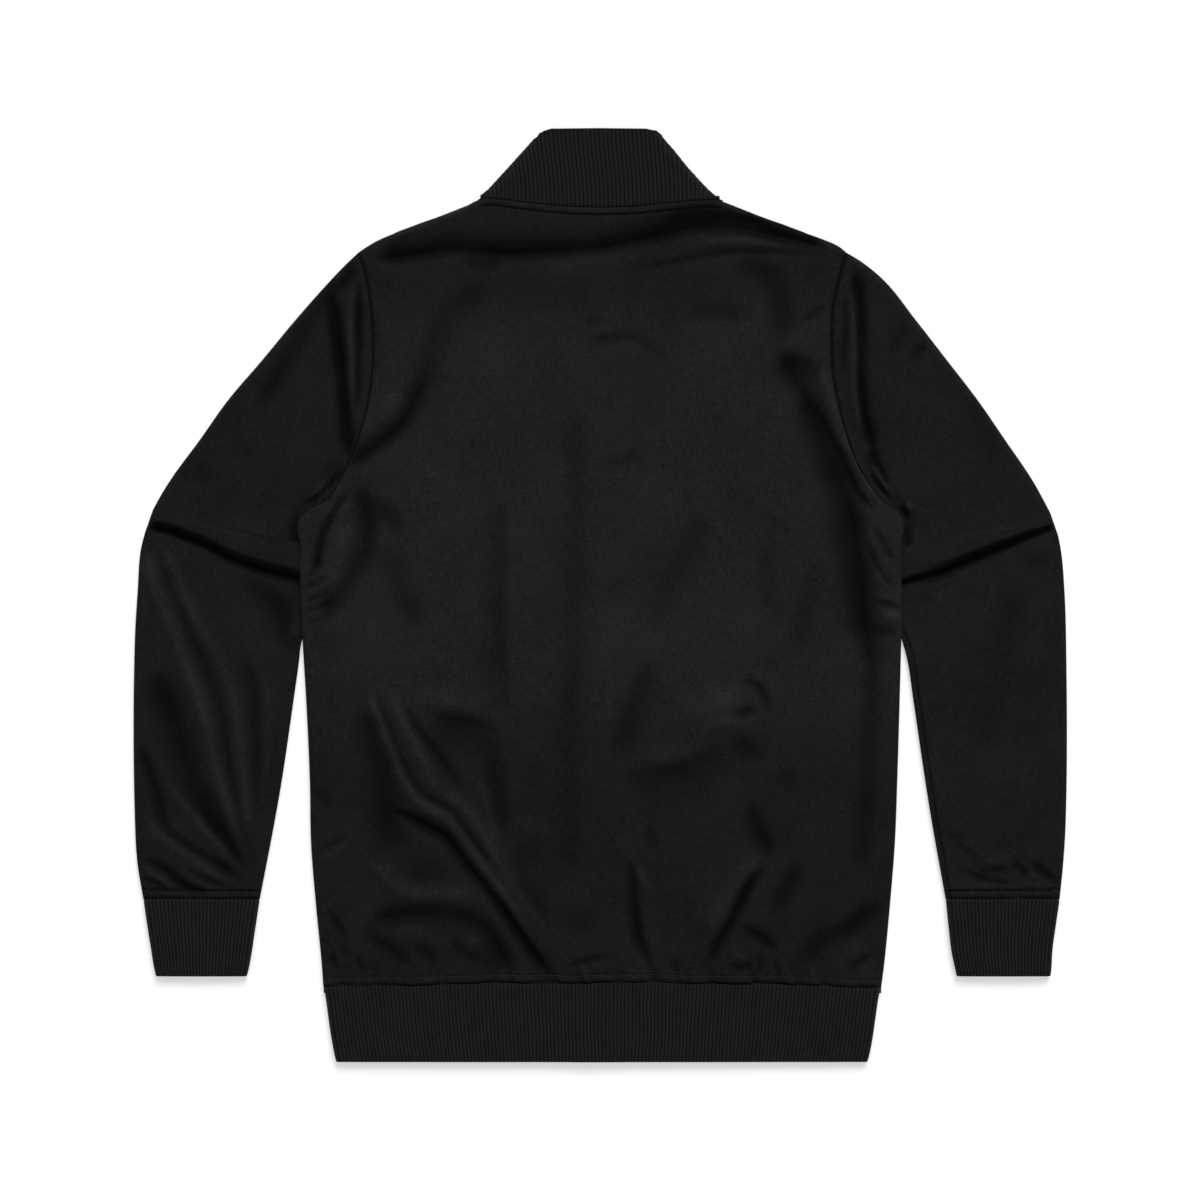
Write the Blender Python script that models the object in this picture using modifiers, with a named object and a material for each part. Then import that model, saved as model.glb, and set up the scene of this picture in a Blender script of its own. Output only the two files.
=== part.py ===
"""Rib-knit bomber jacket, laid flat on its fronts with the back up.

+X is the right of the back view, +Y runs from hem to collar, +Z is up from the
surface it lies on. The origin is at the middle of its outline, on that surface.
Tables and sizes are in millimetres, and become metres where a mesh is made.
"""
import math

import bmesh
import bpy
from mathutils import Vector

MM = 0.001

# ---- driving dimensions ----
CLOTH = 1.2            # wall of the woven panels
KNIT = 2.5             # wall of the doubled rib knit
SEAM_GAP = 0.3         # between two pieces at a seam
RIB_PITCH = 3.6        # from one knit rib to the next
RIB_HEIGHT = 0.8       # of a rib over the valley beside it
BACK_HEIGHT = 8.4      # of the back's wall over the surface, at its middle
SEAM_HEIGHT = 6.4      # of the same wall along the armhole and hem seams
EDGE_HEIGHT = 3.0      # of the side seams, half way round the folded edge
EDGE_ROUND = 6.0       # width over which a folded edge turns down
EDGE_PART = 0.45       # from the middle of a side seam to the end of each wall
TUCK_LIFT = 6.0        # how far the body's edge is raised where it lies on a sleeve
ZIP_LIFT = 2.5         # how far the centre front is raised by the zip beneath it
ZIP_HALF = 4.5         # from the centre front to the edge of each front
UNDERARM_Y = 80.0
HEM_SEAM_Y = -326.0
HEM_END_Y = -392.5
CUFF_SEAM_Y = -255.5
CUFF_END_Y = -320.5
NECK_HALF = 102.0      # from the centre to the point where shoulder meets collar
COLLAR_TOP_Y = 392.5
COLLAR_TOP_HALF = 47.0
COLLAR_DEPTH = 67.0    # of the collar's knit, from neck seam to folded top
FRONT_NECK_Y = 256.0   # the front neckline at the centre front
NECK_CORNER_Y = 331.0  # the front neckline at the shoulder
COLLAR_FOLD_Y = 332.0  # where the collar's slanted side folds start
COLLAR_SEAM_Z = 8.6    # height of the collar's back at the neck seam
COLLAR_END_Z = 4.6     # and at its folded top edge
BACK_WIDTH = 470.0     # across the back, from fold to fold
FRONT_WIDTH = 235.0    # across a front, from side fold to zip
SHOULDER_SHARE = 0.42  # share of a front's top edge that is shoulder, the rest being neckline
SLEEVE_WIDTH = 130.0   # across a folded sleeve
SLEEVE_FACE = 5.1      # height of a sleeve's upper wall above the pleat, beside its edges
PLEATED_FACE = 2.1     # and just below the pleat
HEM_TOP = 5.3          # height of the hem band's and the cuffs' upper wall
FOLD_WIDTH = 4.5       # width over which a knit piece turns down at its edge
SLIDER_Y = FRONT_NECK_Y - 8.0
SLIDER_LONG = 5.5      # half the slider's length
SLIDER_WIDE = 4.0      # half its width
PIVOT_Z = 1.675        # height of the pull tab's bar
PULL_LENGTH = 26.0
PULL_HALF = 3.6        # half the pull tab's width
TAPE = 0.6             # wall of the zip tapes
TAPE_WIDTH = 11.0
CHAIN_HALF = 2.6       # half the width of the closed teeth
CHAIN_LOW = 3.7        # heights between which the teeth lie
CHAIN_HIGH = 5.3

# Rows of the outlines: height in the picture, then the left and the right edge.
ARMHOLE = [(288, -203, 207), (265, -196, 200.5), (238, -192, 195), (212, -190.6, 194.5),
           (186, -191.5, 195.7), (157, -196, 201.3), (128, -204.7, 209.5), (104, -215, 219.5),
           (80, -228, 235)]
BODY_SIDE = [(80, -228, 235), (66, -251, 252.5), (40, -252, 253), (-46, -249.5, 253),
             (-88, -247, 252), (-155, -244, 250), (-206, -243, 248), (-256, -239, 244),
             (-307, -234, 239), (-326, -232.5, 236.5)]
SLEEVE_OUTER = [(288, -203, 207), (265, -226, 238), (231, -256, 265), (197, -284, 291),
                (164, -312, 316), (130, -336, 339), (97, -360, 361), (71, -375, 375),
                (55, -381.5, 383), (38, -386, 387), (4, -388.5, 390), (-40, -391, 391.5),
                (-190, -391, 391.5), (-225, -388, 389), (-255.5, -383, 385.5)]
SLEEVE_INNER = [(80, -228, 235), (70, -239, 243), (60, -244, 247), (40, -245.5, 247.5),
                (12, -241, 243.5), (-20, -244, 247), (-42, -250.8, 254.6), (-55, -252.3, 258),
                (-88, -257, 263), (-155, -267, 273), (-189, -273, 279), (-255.5, -286, 291.5)]
CUFF_OUTER = [(-255.5, -383, 385.5), (-290, -379, 381), (-314, -374, 379), (-320.5, -371, 377)]
CUFF_INNER = [(-255.5, -286, 291.5), (-290, -291, 294.5), (-314, -296.5, 299), (-320.5, -299, 301.5)]
HEM_SIDE = [(-326, -232, 235.5), (-357, -228, 231), (-387, -223.5, 226.5), (-392.5, -220, 223.5)]

# The shoulder line from the armhole to the collar, and the back neck seam: off centre, height.
SHOULDER = [(0, 325), (30, 326), (60, 329), (102, 332), (115.5, 325.5), (134.5, 318.5),
            (153, 312), (170.5, 305.5), (187, 298), (203, 288)]

# The elbow pleat, from the sleeve's outer edge to its inner one: share of the width,
# the left and the right sleeve's place, and how far the upper cloth lies over the lower.
PLEAT = [(0.00, (-380.0, 60.0), (382.5, 58.0), 0.0), (0.04, (-374.6, 58.0), (377.0, 56.0), 0.0),
         (0.15, (-360.0, 54.5), (365.0, 52.0), 0.0), (0.22, (-351.0, 51.0), (356.0, 48.5), 1.6),
         (0.36, (-332.6, 43.7), (337.7, 41.2), 8.0), (0.54, (-309.1, 31.9), (314.2, 31.9), 14.0),
         (0.72, (-285.6, 23.5), (288.0, 21.0), 18.0), (0.90, (-256.0, 15.6), (259.5, 12.5), 20.0),
         (0.954, (-247.9, 13.7), (250.9, 10.6), 1.6), (0.98, (-243.9, 12.7), (246.5, 9.7), 0.0),
         (1.00, (-241.0, 12.0), (243.5, 9.0), 0.0)]
PLEAT_PITCH = 1.5      # from one layer of a pleat to the next
PLEAT_FALL = {-1: (-0.33, -0.94), 1: (0.33, -0.94)}   # across the pleat, towards the cuff

# The largest folds of the back: height of the ridge (or depth, when negative), half width, route.
BACK_FOLDS = [
    ("yoke trough", -2.6, 15, [(-165, 290), (-100, 287), (-50, 288), (-3, 290), (46, 301), (80, 309),
                               (116, 314), (150, 309)]),
    ("yoke ridge", 1.6, 16, [(-120, 308), (-60, 312), (0, 310), (60, 318)]),
    ("left back trough", -2.2, 17, [(-104, 265), (-131, 231), (-144, 186), (-160, 154), (-175, 130)]),
    ("right back trough", -2.0, 17, [(121, 276), (153, 260), (153, 213), (169, 186), (186, 148),
                                     (207, 109), (224, 70)]),
    ("right side trough", -1.8, 16, [(217, 45), (219, 7), (223, -32), (228, -63)]),
    ("left side trough", -2.0, 15, [(-197, 58), (-197, 37), (-206, 17), (-218, -2), (-229, -17)]),
    ("zip trough", -1.6, 13, [(-24, 181), (-24, 50), (-26, -80), (-24, -223)]),
    ("second trough", -1.2, 14, [(-85, 41), (-84, -60), (-86, -200)]),
    ("slanted trough", -1.2, 14, [(40, -66), (18, -110), (3, -152)]),
    ("hip trough", -2.8, 12, [(-201, -93), (-184, -130), (-163, -184), (-149, -193), (-132, -203),
                              (-107, -236), (-72, -281), (-46, -317)]),
    ("hip ridge", 1.8, 13, [(-170, -160), (-132, -183), (-107, -209), (-80, -236), (-50, -270)]),
    ("pocket trough", -2.4, 11, [(-183, -272), (-158, -265), (-107, -268), (-82, -300), (-72, -317)]),
    ("pocket ridge", 1.6, 11, [(-186, -229), (-150, -251), (-105, -256)]),
    ("right hip trough", -2.4, 13, [(139, -228), (119, -252), (108, -274), (94, -297), (89, -317)]),
    ("right small trough", -1.4, 12, [(125, -177), (135, -195), (146, -218)]),
    ("right low trough", -1.4, 12, [(239, -265), (214, -279), (194, -286), (163, -312)]),
    ("middle low trough", -1.2, 13, [(26, -238), (29, -261), (38, -307), (46, -317)]),
]
SLEEVE_FOLDS = {
    -1: [("head trough", -2.2, 10, [(-225, 240), (-221, 212), (-217, 174), (-213, 135), (-212, 112)]),
         ("head ridge", 1.6, 8, [(-209, 230), (-205, 190), (-204, 150), (-209, 110)]),
         ("lower ridge", 1.6, 13, [(-368, 38), (-349, -5), (-330, -35), (-312, -73), (-295, -115),
                                   (-288, -210)]),
         ("outer trough", -1.6, 13, [(-377, -64), (-361, -103), (-343, -157), (-309, -217)]),
         ("cuff ridge", 1.2, 12, [(-356, -175), (-333, -203), (-300, -243)])],
    1: [("head ridge", 1.6, 8, [(204, 264), (210, 230), (214, 204)]),
        ("head trough", -2.2, 9, [(219, 230), (221, 171), (228, 117)]),
        ("upper fold", -1.2, 14, [(270, 212), (263, 194)]),
        ("lower trough", -1.2, 16, [(357, -30), (340, -64), (331, -97), (322, -134)])],
}

BLACK_TWILL = (0.013, 0.013, 0.014)
BLACK_KNIT = (0.010, 0.010, 0.011)
DARK_METAL = (0.09, 0.09, 0.095)


# ---- lines and heights ----
def smooth(t):
    """An S-shaped ramp from 0 to 1."""
    t = min(max(t, 0.0), 1.0)
    return t * t * (3 - 2 * t)


def mix(a, b, t):
    return a + (b - a) * t


def mix_point(a, b, t):
    return tuple(mix(p, q, t) for p, q in zip(a, b))


def read(rows, key, column):
    """Reads a column of a table at a key, along a smooth curve through its rows."""
    rows = sorted(rows, key=lambda row: row[0])
    key = min(max(key, rows[0][0]), rows[-1][0])
    i = max(k for k in range(len(rows) - 1) if rows[k][0] <= key)
    before, low, high, after = (rows[max(i - 1, 0)], rows[i], rows[i + 1],
                                rows[min(i + 2, len(rows) - 1)])
    span = high[0] - low[0]
    step = (high[column] - low[column]) / span
    into = step if before is low else (step + (low[column] - before[column]) / (low[0] - before[0])) / 2
    out = step if after is high else (step + (after[column] - high[column]) / (after[0] - high[0])) / 2
    t = (key - low[0]) / span
    return (low[column] * (1 + 2 * t) * (1 - t) ** 2 + high[column] * t * t * (3 - 2 * t)
            + span * (into * t * (1 - t) ** 2 - out * t * t * (1 - t)))


def side_column(side):
    return 1 if side < 0 else 2


def walk(points, share):
    """The point at a share of the length of a line of points."""
    lengths = [math.dist(a, b) for a, b in zip(points, points[1:])]
    left = share * sum(lengths)
    for a, b, length in zip(points, points[1:], lengths):
        if left <= length:
            return mix_point(a, b, left / length)
        left -= length
    return points[-1]


def fold_height(folds, x, y):
    """The height that a table of folds adds at a place: each is a soft crest that dies away."""
    total = 0.0
    for _, rise, half_width, route in folds:
        nearest, at, done = 1e9, 0.0, 0.0
        whole = sum(math.dist(a, b) for a, b in zip(route, route[1:]))
        for a, b in zip(route, route[1:]):
            length = math.dist(a, b)
            t = ((x - a[0]) * (b[0] - a[0]) + (y - a[1]) * (b[1] - a[1])) / length ** 2
            t = min(max(t, 0.0), 1.0)
            away = math.dist((x, y), mix_point(a, b, t))
            if away < nearest:
                nearest, at = away, (done + t * length) / whole
            done += length
        ends = smooth(4 * at + 0.25) * smooth(4 * (1 - at) + 0.25)
        total += rise * ends * math.exp(-(nearest / half_width) ** 2)
    return total


def roll(distance, width=EDGE_ROUND):
    """Share of its full height that a folded edge has reached at a distance from it."""
    t = min(distance / width, 1.0)
    return math.sqrt(1 - (1 - t) ** 2)


def body_side_x(y, side):
    if y >= UNDERARM_Y:
        return read(ARMHOLE, y, side_column(side))
    return read(BODY_SIDE, y, side_column(side))


def tuck_lift(x, y):
    """How far the body's underside is raised over the edge of a sleeve beneath it."""
    side = -1 if x < 0 else 1
    along = smooth((106 - y) / 25) * smooth((y + 62) / 42)
    inward = abs(body_side_x(min(y, 66), side)) - abs(x)
    return TUCK_LIFT * along * (1 - smooth((inward - 26) / 20))


def edge_middle(x, y, above):
    """Height of the end of a body wall at the side seam: the back's above, the front's below."""
    lift = tuck_lift(x, y)
    part = EDGE_PART + 0.2 * lift / TUCK_LIFT
    return EDGE_HEIGHT + 0.87 * lift + (part if above else -part)


def zip_lift(x):
    """How far the cloth at the centre front is raised over the zip."""
    return ZIP_LIFT * (1 - smooth((abs(x) - 8) / 24))


def neck_y(x):
    return read(SHOULDER, abs(x), 1)


def neck_seam_y(x):
    """The back neck seam, straight between the columns of the back."""
    t = (x + NECK_HALF) / (2 * NECK_HALF) * NECK_PARTS
    k = min(max(int(t), 0), NECK_PARTS - 1)
    a, b = (mix(-NECK_HALF, NECK_HALF, n / NECK_PARTS) for n in (k, k + 1))
    return mix(neck_y(a), neck_y(b), (x - a) / (b - a))


def neckline_stations(side):
    """Points of the front neckline, from the shoulder to the zip, shared by front and collar."""
    fine = [neckline_point(side, k / 24) for k in range(25)]
    return [walk(fine, share) for share in NECKLINE_SHARES]


def hem_y(x):
    """The hem seam dips a little towards the sides."""
    return HEM_SEAM_Y - 4.0 * (abs(x) / 235) ** 2


# ---- making meshes ----
def new_object(name, verts, faces):
    mesh = bpy.data.meshes.new(name)
    mesh.from_pydata([Vector(v) * MM for v in verts], [], faces)
    shape = bmesh.new()
    shape.from_mesh(mesh)
    bmesh.ops.recalc_face_normals(shape, faces=shape.faces)
    shape.to_mesh(mesh)
    shape.free()
    mesh.shade_smooth()
    obj = bpy.data.objects.new(name, mesh)
    jacket.objects.link(obj)
    return obj


def cloth_sheet(name, rows, material, wall=CLOTH, closed=False):
    """A sheet through rows of points, given its wall by a Solidify modifier about its middle."""
    count = len(rows[0])
    verts = [point for row in rows for point in row]
    faces = []
    for i in range(len(rows) - 1):
        for j in range(count if closed else count - 1):
            k = (j + 1) % count
            faces.append((i * count + j, i * count + k, (i + 1) * count + k, (i + 1) * count + j))
    obj = new_object(name, verts, faces)
    thick = obj.modifiers.new("wall", "SOLIDIFY")
    thick.thickness = wall * MM
    thick.offset = 0.0
    obj.data.materials.append(material)
    return obj


def sheet_normals(columns, closed):
    """Unit normals of a sheet given as columns of points, facing the same way as a x b."""
    normals = []
    last = len(columns) - 1
    for i, column in enumerate(columns):
        before = columns[(i - 1) % len(columns)] if closed or i > 0 else column
        after = columns[(i + 1) % len(columns)] if closed or i < last else column
        row = []
        for j, _ in enumerate(column):
            along = Vector(after[j]) - Vector(before[j])
            up = Vector(column[min(j + 1, len(column) - 1)]) - Vector(column[max(j - 1, 0)])
            row.append(along.cross(up).normalized())
        normals.append(row)
    return normals


def rib_wall(name, columns, ribs, plain, material, closed=False):
    """A knit wall with ribs raised on its outer side over a plain inside.

    columns: points of the wall's middle, each from its seam to its folded end.
    ribs: how far each point stands out. plain: the columns that the inside keeps.
    """
    normals = sheet_normals(columns, closed)
    for row in normals:
        row[0] = Vector((row[0].x, 0.0, row[0].z)).normalized()
    rows = len(columns[0])
    verts, outer, inner = [], {}, {}
    for i, column in enumerate(columns):
        for j, point in enumerate(column):
            round_end = 0.6 if j == rows - 1 else 0.0
            outer[i, j] = len(verts)
            raised = normals[i][j] * (KNIT / 2 - round_end + ribs[i][j])
            verts.append(Vector(point) + raised)
            if i in plain:
                inner[i, j] = len(verts)
                verts.append(Vector(point) - normals[i][j] * (KNIT / 2 - round_end))
    faces = []
    count = len(columns)
    for i in range(count if closed else count - 1):
        k = (i + 1) % count
        for j in range(rows - 1):
            faces.append((outer[i, j], outer[k, j], outer[k, j + 1], outer[i, j + 1]))
    spans = list(zip(plain, plain[1:])) + ([(plain[-1], plain[0] + count)] if closed else [])
    for a, b in spans:
        for j in range(rows - 1):
            faces.append((inner[a, j], inner[a, j + 1], inner[b % count, j + 1], inner[b % count, j]))
        middle = (a + b) // 2
        for j in (0, rows - 1):
            for i in range(a, b):
                near = a if i < middle else b % count
                faces.append((outer[i % count, j], outer[(i + 1) % count, j], inner[near, j]))
            faces.append((inner[a, j], inner[b % count, j], outer[middle % count, j]))
    if not closed:
        for i in (0, count - 1):
            for j in range(rows - 1):
                faces.append((outer[i, j], outer[i, j + 1], inner[i, j + 1], inner[i, j]))
    obj = new_object(name, verts, faces)
    obj.data.materials.append(material)
    return obj


def material(name, colour, roughness, metallic=0.0):
    made = bpy.data.materials.new(name)
    made.use_nodes = True
    shader = made.node_tree.nodes["Principled BSDF"]
    shader.inputs["Base Color"].default_value = (*colour, 1)
    shader.inputs["Roughness"].default_value = roughness
    shader.inputs["Metallic"].default_value = metallic
    return made


# ---- body ----
NECK_PARTS = 13        # columns of the back along the neck seam
NECKLINE_SHARES = (0.0, 0.15, 0.35, 0.55, 0.78, 1.0)
EDGE_STEPS = (0.0, 0.7, 2.5, 6.0)      # columns of points beside a folded edge
ARMHOLE_SHARES = (0.11, 0.22, 0.33, 0.44, 0.55, 0.67, 0.79, 0.90)
SIDE_LEVELS = (66, 50, 30, 8, -14, -36, -58, -82, -108, -134, -160, -186, -212, -236, -260, -284,
               -306, -326)
FRONT_SKIPS = (0.7, 0.11, 0.33, 0.55, 0.79, 30, -82, -134, -186, -236, -284)   # rows only the back has


def armhole_stations(side):
    """Points of the armhole seam, from shoulder to underarm, shared by body and sleeve."""
    column = side_column(side)
    fine = [(read(ARMHOLE, y, column), y) for y in range(288, 79, -4)]
    length = sum(math.dist(a, b) for a, b in zip(fine, fine[1:]))
    shares = [step / length for step in EDGE_STEPS] + list(ARMHOLE_SHARES) + [1.0]
    return [walk(fine, share) for share in shares]


def edge_rows():
    """One entry for each row of the body: its name, and its place on the left and right edge."""
    rows = []
    names = EDGE_STEPS + ARMHOLE_SHARES + (UNDERARM_Y,)
    for name, left, right in zip(names, armhole_stations(-1), armhole_stations(1)):
        rows.append((name, left, right))
    for y in SIDE_LEVELS:
        rows.append((y, (read(BODY_SIDE, y, 1), y), (read(BODY_SIDE, y, 2), y)))
    return rows


def spans(edge, widths):
    return [w / edge for w in widths]


def body_shares(corners, parts, width=BACK_WIDTH):
    """Shares across a panel: close beside its folded edges, even between its corners."""
    shares = spans(width, EDGE_STEPS)
    edges = [shares[-1]] + list(corners) + [1 - shares[-1]]
    for low, high, count in zip(edges, edges[1:], parts):
        shares += [mix(low, high, (k + 1) / count) for k in range(count)]
    return shares + [1 - s for s in reversed(spans(width, EDGE_STEPS[:-1]))]


def back_face(x, y):
    """Height of the back's wall away from its edges."""
    side = -1 if x < 0 else 1
    edge = min(abs(x - body_side_x(y, side)), 40.0)
    seam = SEAM_HEIGHT if y > UNDERARM_Y else SEAM_HEIGHT - 0.8
    crown = mix(seam, BACK_HEIGHT, smooth(edge / 34) * smooth((y - HEM_SEAM_Y) / 34 + 0.1))
    collar_rise = 1.6 * smooth((y - 215) / 60) * (1 - smooth((abs(x) - 80) / 60))
    zip_rise = 0.45 * zip_lift(x) * (1 - smooth((y - HEM_SEAM_Y) / 60))
    return crown + collar_rise + zip_rise + tuck_lift(x, y) * 0.75 + fold_height(BACK_FOLDS, x, y)


def make_back(cloth):
    rows = edge_rows()
    left0, right0 = rows[0][1], rows[0][2]
    corners = [(-NECK_HALF - left0[0]) / (right0[0] - left0[0]),
               (NECK_HALF - left0[0]) / (right0[0] - left0[0])]
    shares = body_shares(corners, (5, NECK_PARTS, 5))
    armhole_rows = len(EDGE_STEPS) + len(ARMHOLE_SHARES)
    lengths = [0.0]
    for (_, a, _), (_, b, _) in zip(rows, rows[1:]):
        lengths.append(lengths[-1] + math.dist(a, b))
    grid = []
    for i, (_, left, right) in enumerate(rows):
        v = lengths[i] / lengths[-1]
        folded = i >= armhole_rows
        inset = CLOTH / 2 if folded else SEAM_GAP / 2
        line = []
        for u in shares:
            x = mix(left[0] + inset, right[0] - inset, u)
            top_x = mix(left0[0], right0[0], u)
            top_rise = neck_y(top_x) - mix(left0[1], right0[1], u)
            bottom_rise = hem_y(x) - HEM_SEAM_Y
            y = mix(left[1], right[1], u) + top_rise * (1 - v) ** 1.5 + bottom_rise * v ** 3
            line.append(back_point(x, y, u, v, top_x, folded, lengths[-1]))
        grid.append(line)
    return cloth_sheet("back", grid, cloth)


def back_point(x, y, u, v, top_x, folded, length):
    """Places a point of the back, rolled down at the side and shoulder folds."""
    in_neck = abs(top_x) < NECK_HALF - 1
    z = back_face(x, y)
    if folded:
        z = mix(edge_middle(x, y, True), z, roll(min(u, 1 - u) * BACK_WIDTH))
    from_top = v * length
    if in_neck:
        y -= (SEAM_GAP / 2) * (1 - smooth(from_top / 6))
    elif from_top < EDGE_ROUND:
        z = mix(EDGE_HEIGHT + EDGE_PART, z, roll(from_top))
        y -= (CLOTH / 2) * (1 - from_top / EDGE_ROUND)
    if v > 0.999:
        y += SEAM_GAP / 2
    return (x, y, z)


def make_front(side, cloth):
    """A front lies flat beneath: shoulder, armhole and side as the back, then neckline and zip."""
    rows = [row for row in edge_rows() if row[0] not in FRONT_SKIPS]
    armhole_rows = 1 + max(i for i, row in enumerate(rows) if row[0] in ARMHOLE_SHARES)
    lengths = [0.0]
    for a, b in zip(rows, rows[1:]):
        lengths.append(lengths[-1] + math.dist(a[1], b[1]))
    edge = [row[1] if side < 0 else row[2] for row in rows]
    tip = edge[0]
    shoulder = [tip, (side * 170.5, 305.5), (side * 134.5, 318.5), (side * (NECK_HALF + 1), NECK_CORNER_Y)]
    neckline = neckline_stations(side)
    shares = [0.0, 0.011, 0.027, 0.066, 0.13, 0.24] + [mix(SHOULDER_SHARE, 1.0, s) for s in NECKLINE_SHARES]
    grid = []
    for i, place in enumerate(edge):
        v = lengths[i] / lengths[-1]
        folded = i >= armhole_rows
        inset = CLOTH / 2 if folded else SEAM_GAP / 2
        outer = (place[0] - side * inset, place[1])
        cf_top, cf_end = (side * ZIP_HALF, FRONT_NECK_Y), (side * ZIP_HALF, HEM_SEAM_Y)
        inner = mix_point(cf_top, cf_end, v)
        line = []
        for u in shares:
            if u <= SHOULDER_SHARE:
                top = walk(shoulder, u / SHOULDER_SHARE)
            else:
                top = walk(neckline, (u - SHOULDER_SHARE) / (1 - SHOULDER_SHARE))
            top_blend = mix_point(tip, cf_top, u)
            low = (mix(edge[-1][0] - side * CLOTH / 2, side * ZIP_HALF, u), 0.0)
            low = (low[0], hem_y(low[0]))
            low_blend = mix_point(edge[-1], cf_end, u)
            base = mix_point(outer, inner, u)
            x = base[0] + (top[0] - top_blend[0]) * (1 - v) ** 1.5 + (low[0] - low_blend[0]) * v
            y = base[1] + (top[1] - top_blend[1]) * (1 - v) ** 1.5 + (low[1] - low_blend[1]) * v ** 3
            line.append(front_point(x, y, u, v, side, folded, lengths[-1]))
        grid.append(line)
    return cloth_sheet("front_left" if side < 0 else "front_right", grid, cloth)


def neckline_point(side, t):
    """The front neckline, sloping from the shoulder and level at the centre front."""
    return (side * mix(NECK_HALF + 1, ZIP_HALF, t),
            mix(NECK_CORNER_Y, FRONT_NECK_Y, math.sin(t * math.pi / 2)))


def front_point(x, y, u, v, side, folded, length):
    z = CLOTH / 2 + tuck_lift(x, y) + zip_lift(x)
    if folded:
        z = mix(edge_middle(x, y, False), z, roll(u * FRONT_WIDTH))
    from_top = v * length
    if from_top < EDGE_ROUND:
        if u <= SHOULDER_SHARE:
            z = mix(EDGE_HEIGHT - EDGE_PART, z, roll(from_top))
            y -= (CLOTH / 2) * (1 - from_top / EDGE_ROUND)
        else:
            y -= (SEAM_GAP / 2) * (1 - from_top / EDGE_ROUND)
            x += side * (SEAM_GAP / 2) * (1 - from_top / EDGE_ROUND)
    if v > 0.999:
        y += SEAM_GAP / 2
    return (x, y, z)


# ---- sleeves ----
BOTTOM_SHARES = (0.22, 0.44, 0.67, 0.90)
EDGE_WIDTHS = (0.7, 2.5, 6.0)
UPPER_RINGS = 8
LOWER_RINGS = 10


def ring_shares(width):
    """Shares across a sleeve: over the top from outer to inner edge, then back beneath."""
    steps = [step / width for step in EDGE_WIDTHS]
    top = [0.0] + steps + list(ARMHOLE_SHARES) + [1 - s for s in reversed(steps)] + [1.0]
    below = [1 - steps[1], 1 - steps[2]] + list(reversed(BOTTOM_SHARES)) + [steps[2], steps[1]]
    return [(u, True) for u in sorted(top)] + [(u, False) for u in sorted(below, reverse=True)]


def ring_height(u, on_top, width, face, crown, middle):
    """Height of the wall at a share across a sleeve that is folded at both edges."""
    from_edge = min(u, 1 - u) * width
    if on_top:
        return mix(middle, face + crown * math.sin(math.pi * u) ** 2, roll(from_edge))
    return mix(middle, CLOTH / 2, roll(from_edge, 5.0))


def pleat_at(u, side):
    """The pleat's place, overlap and fall at a share across the sleeve."""
    column = 1 if side < 0 else 2
    xs = [(row[0], row[column][0], row[column][1], row[3]) for row in PLEAT]
    low = max(k for k in range(len(xs) - 1) if xs[k][0] <= u)
    a, b = xs[low], xs[low + 1]
    t = (u - a[0]) / (b[0] - a[0])
    lean = mix(PLEAT_FALL[side][0], side * 0.10, smooth((u - 0.7) / 0.3))
    fall = Vector((lean, -0.94)).normalized()
    return (mix(a[1], b[1], t), mix(a[2], b[2], t)), mix(a[3], b[3], t), fall


def pleat_section(overlap, step):
    """The wall's middle through the pleat: distance along the sleeve and drop, row by row."""
    bend = PLEAT_PITCH / 2
    turn = [math.radians(45 * k - 90) for k in range(5)]
    drops = [0.0] + [bend + bend * math.sin(a) for a in turn] + [2 * bend, 2 * bend, 3 * bend]
    drops += [4 * bend, 4 * bend]
    if overlap < 1.0:
        run = [-12.0] + [k - 4.0 for k in range(9)] + [8.0]
    else:
        nose = [bend * math.cos(a) - bend for a in turn]
        heel = [bend - overlap, -overlap, bend - overlap]
        run = [-overlap - 6.0] + nose + [-overlap / 2] + heel + [8.0]
    return [(s, drop * step / (4 * bend)) for s, drop in zip(run, drops)]


def sleeve_edges(side):
    column = side_column(side)
    return (lambda y: (read(SLEEVE_OUTER, y, column) - side * CLOTH / 2, y),
            lambda y: (read(SLEEVE_INNER, y, column) + side * CLOTH / 2, y))


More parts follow.
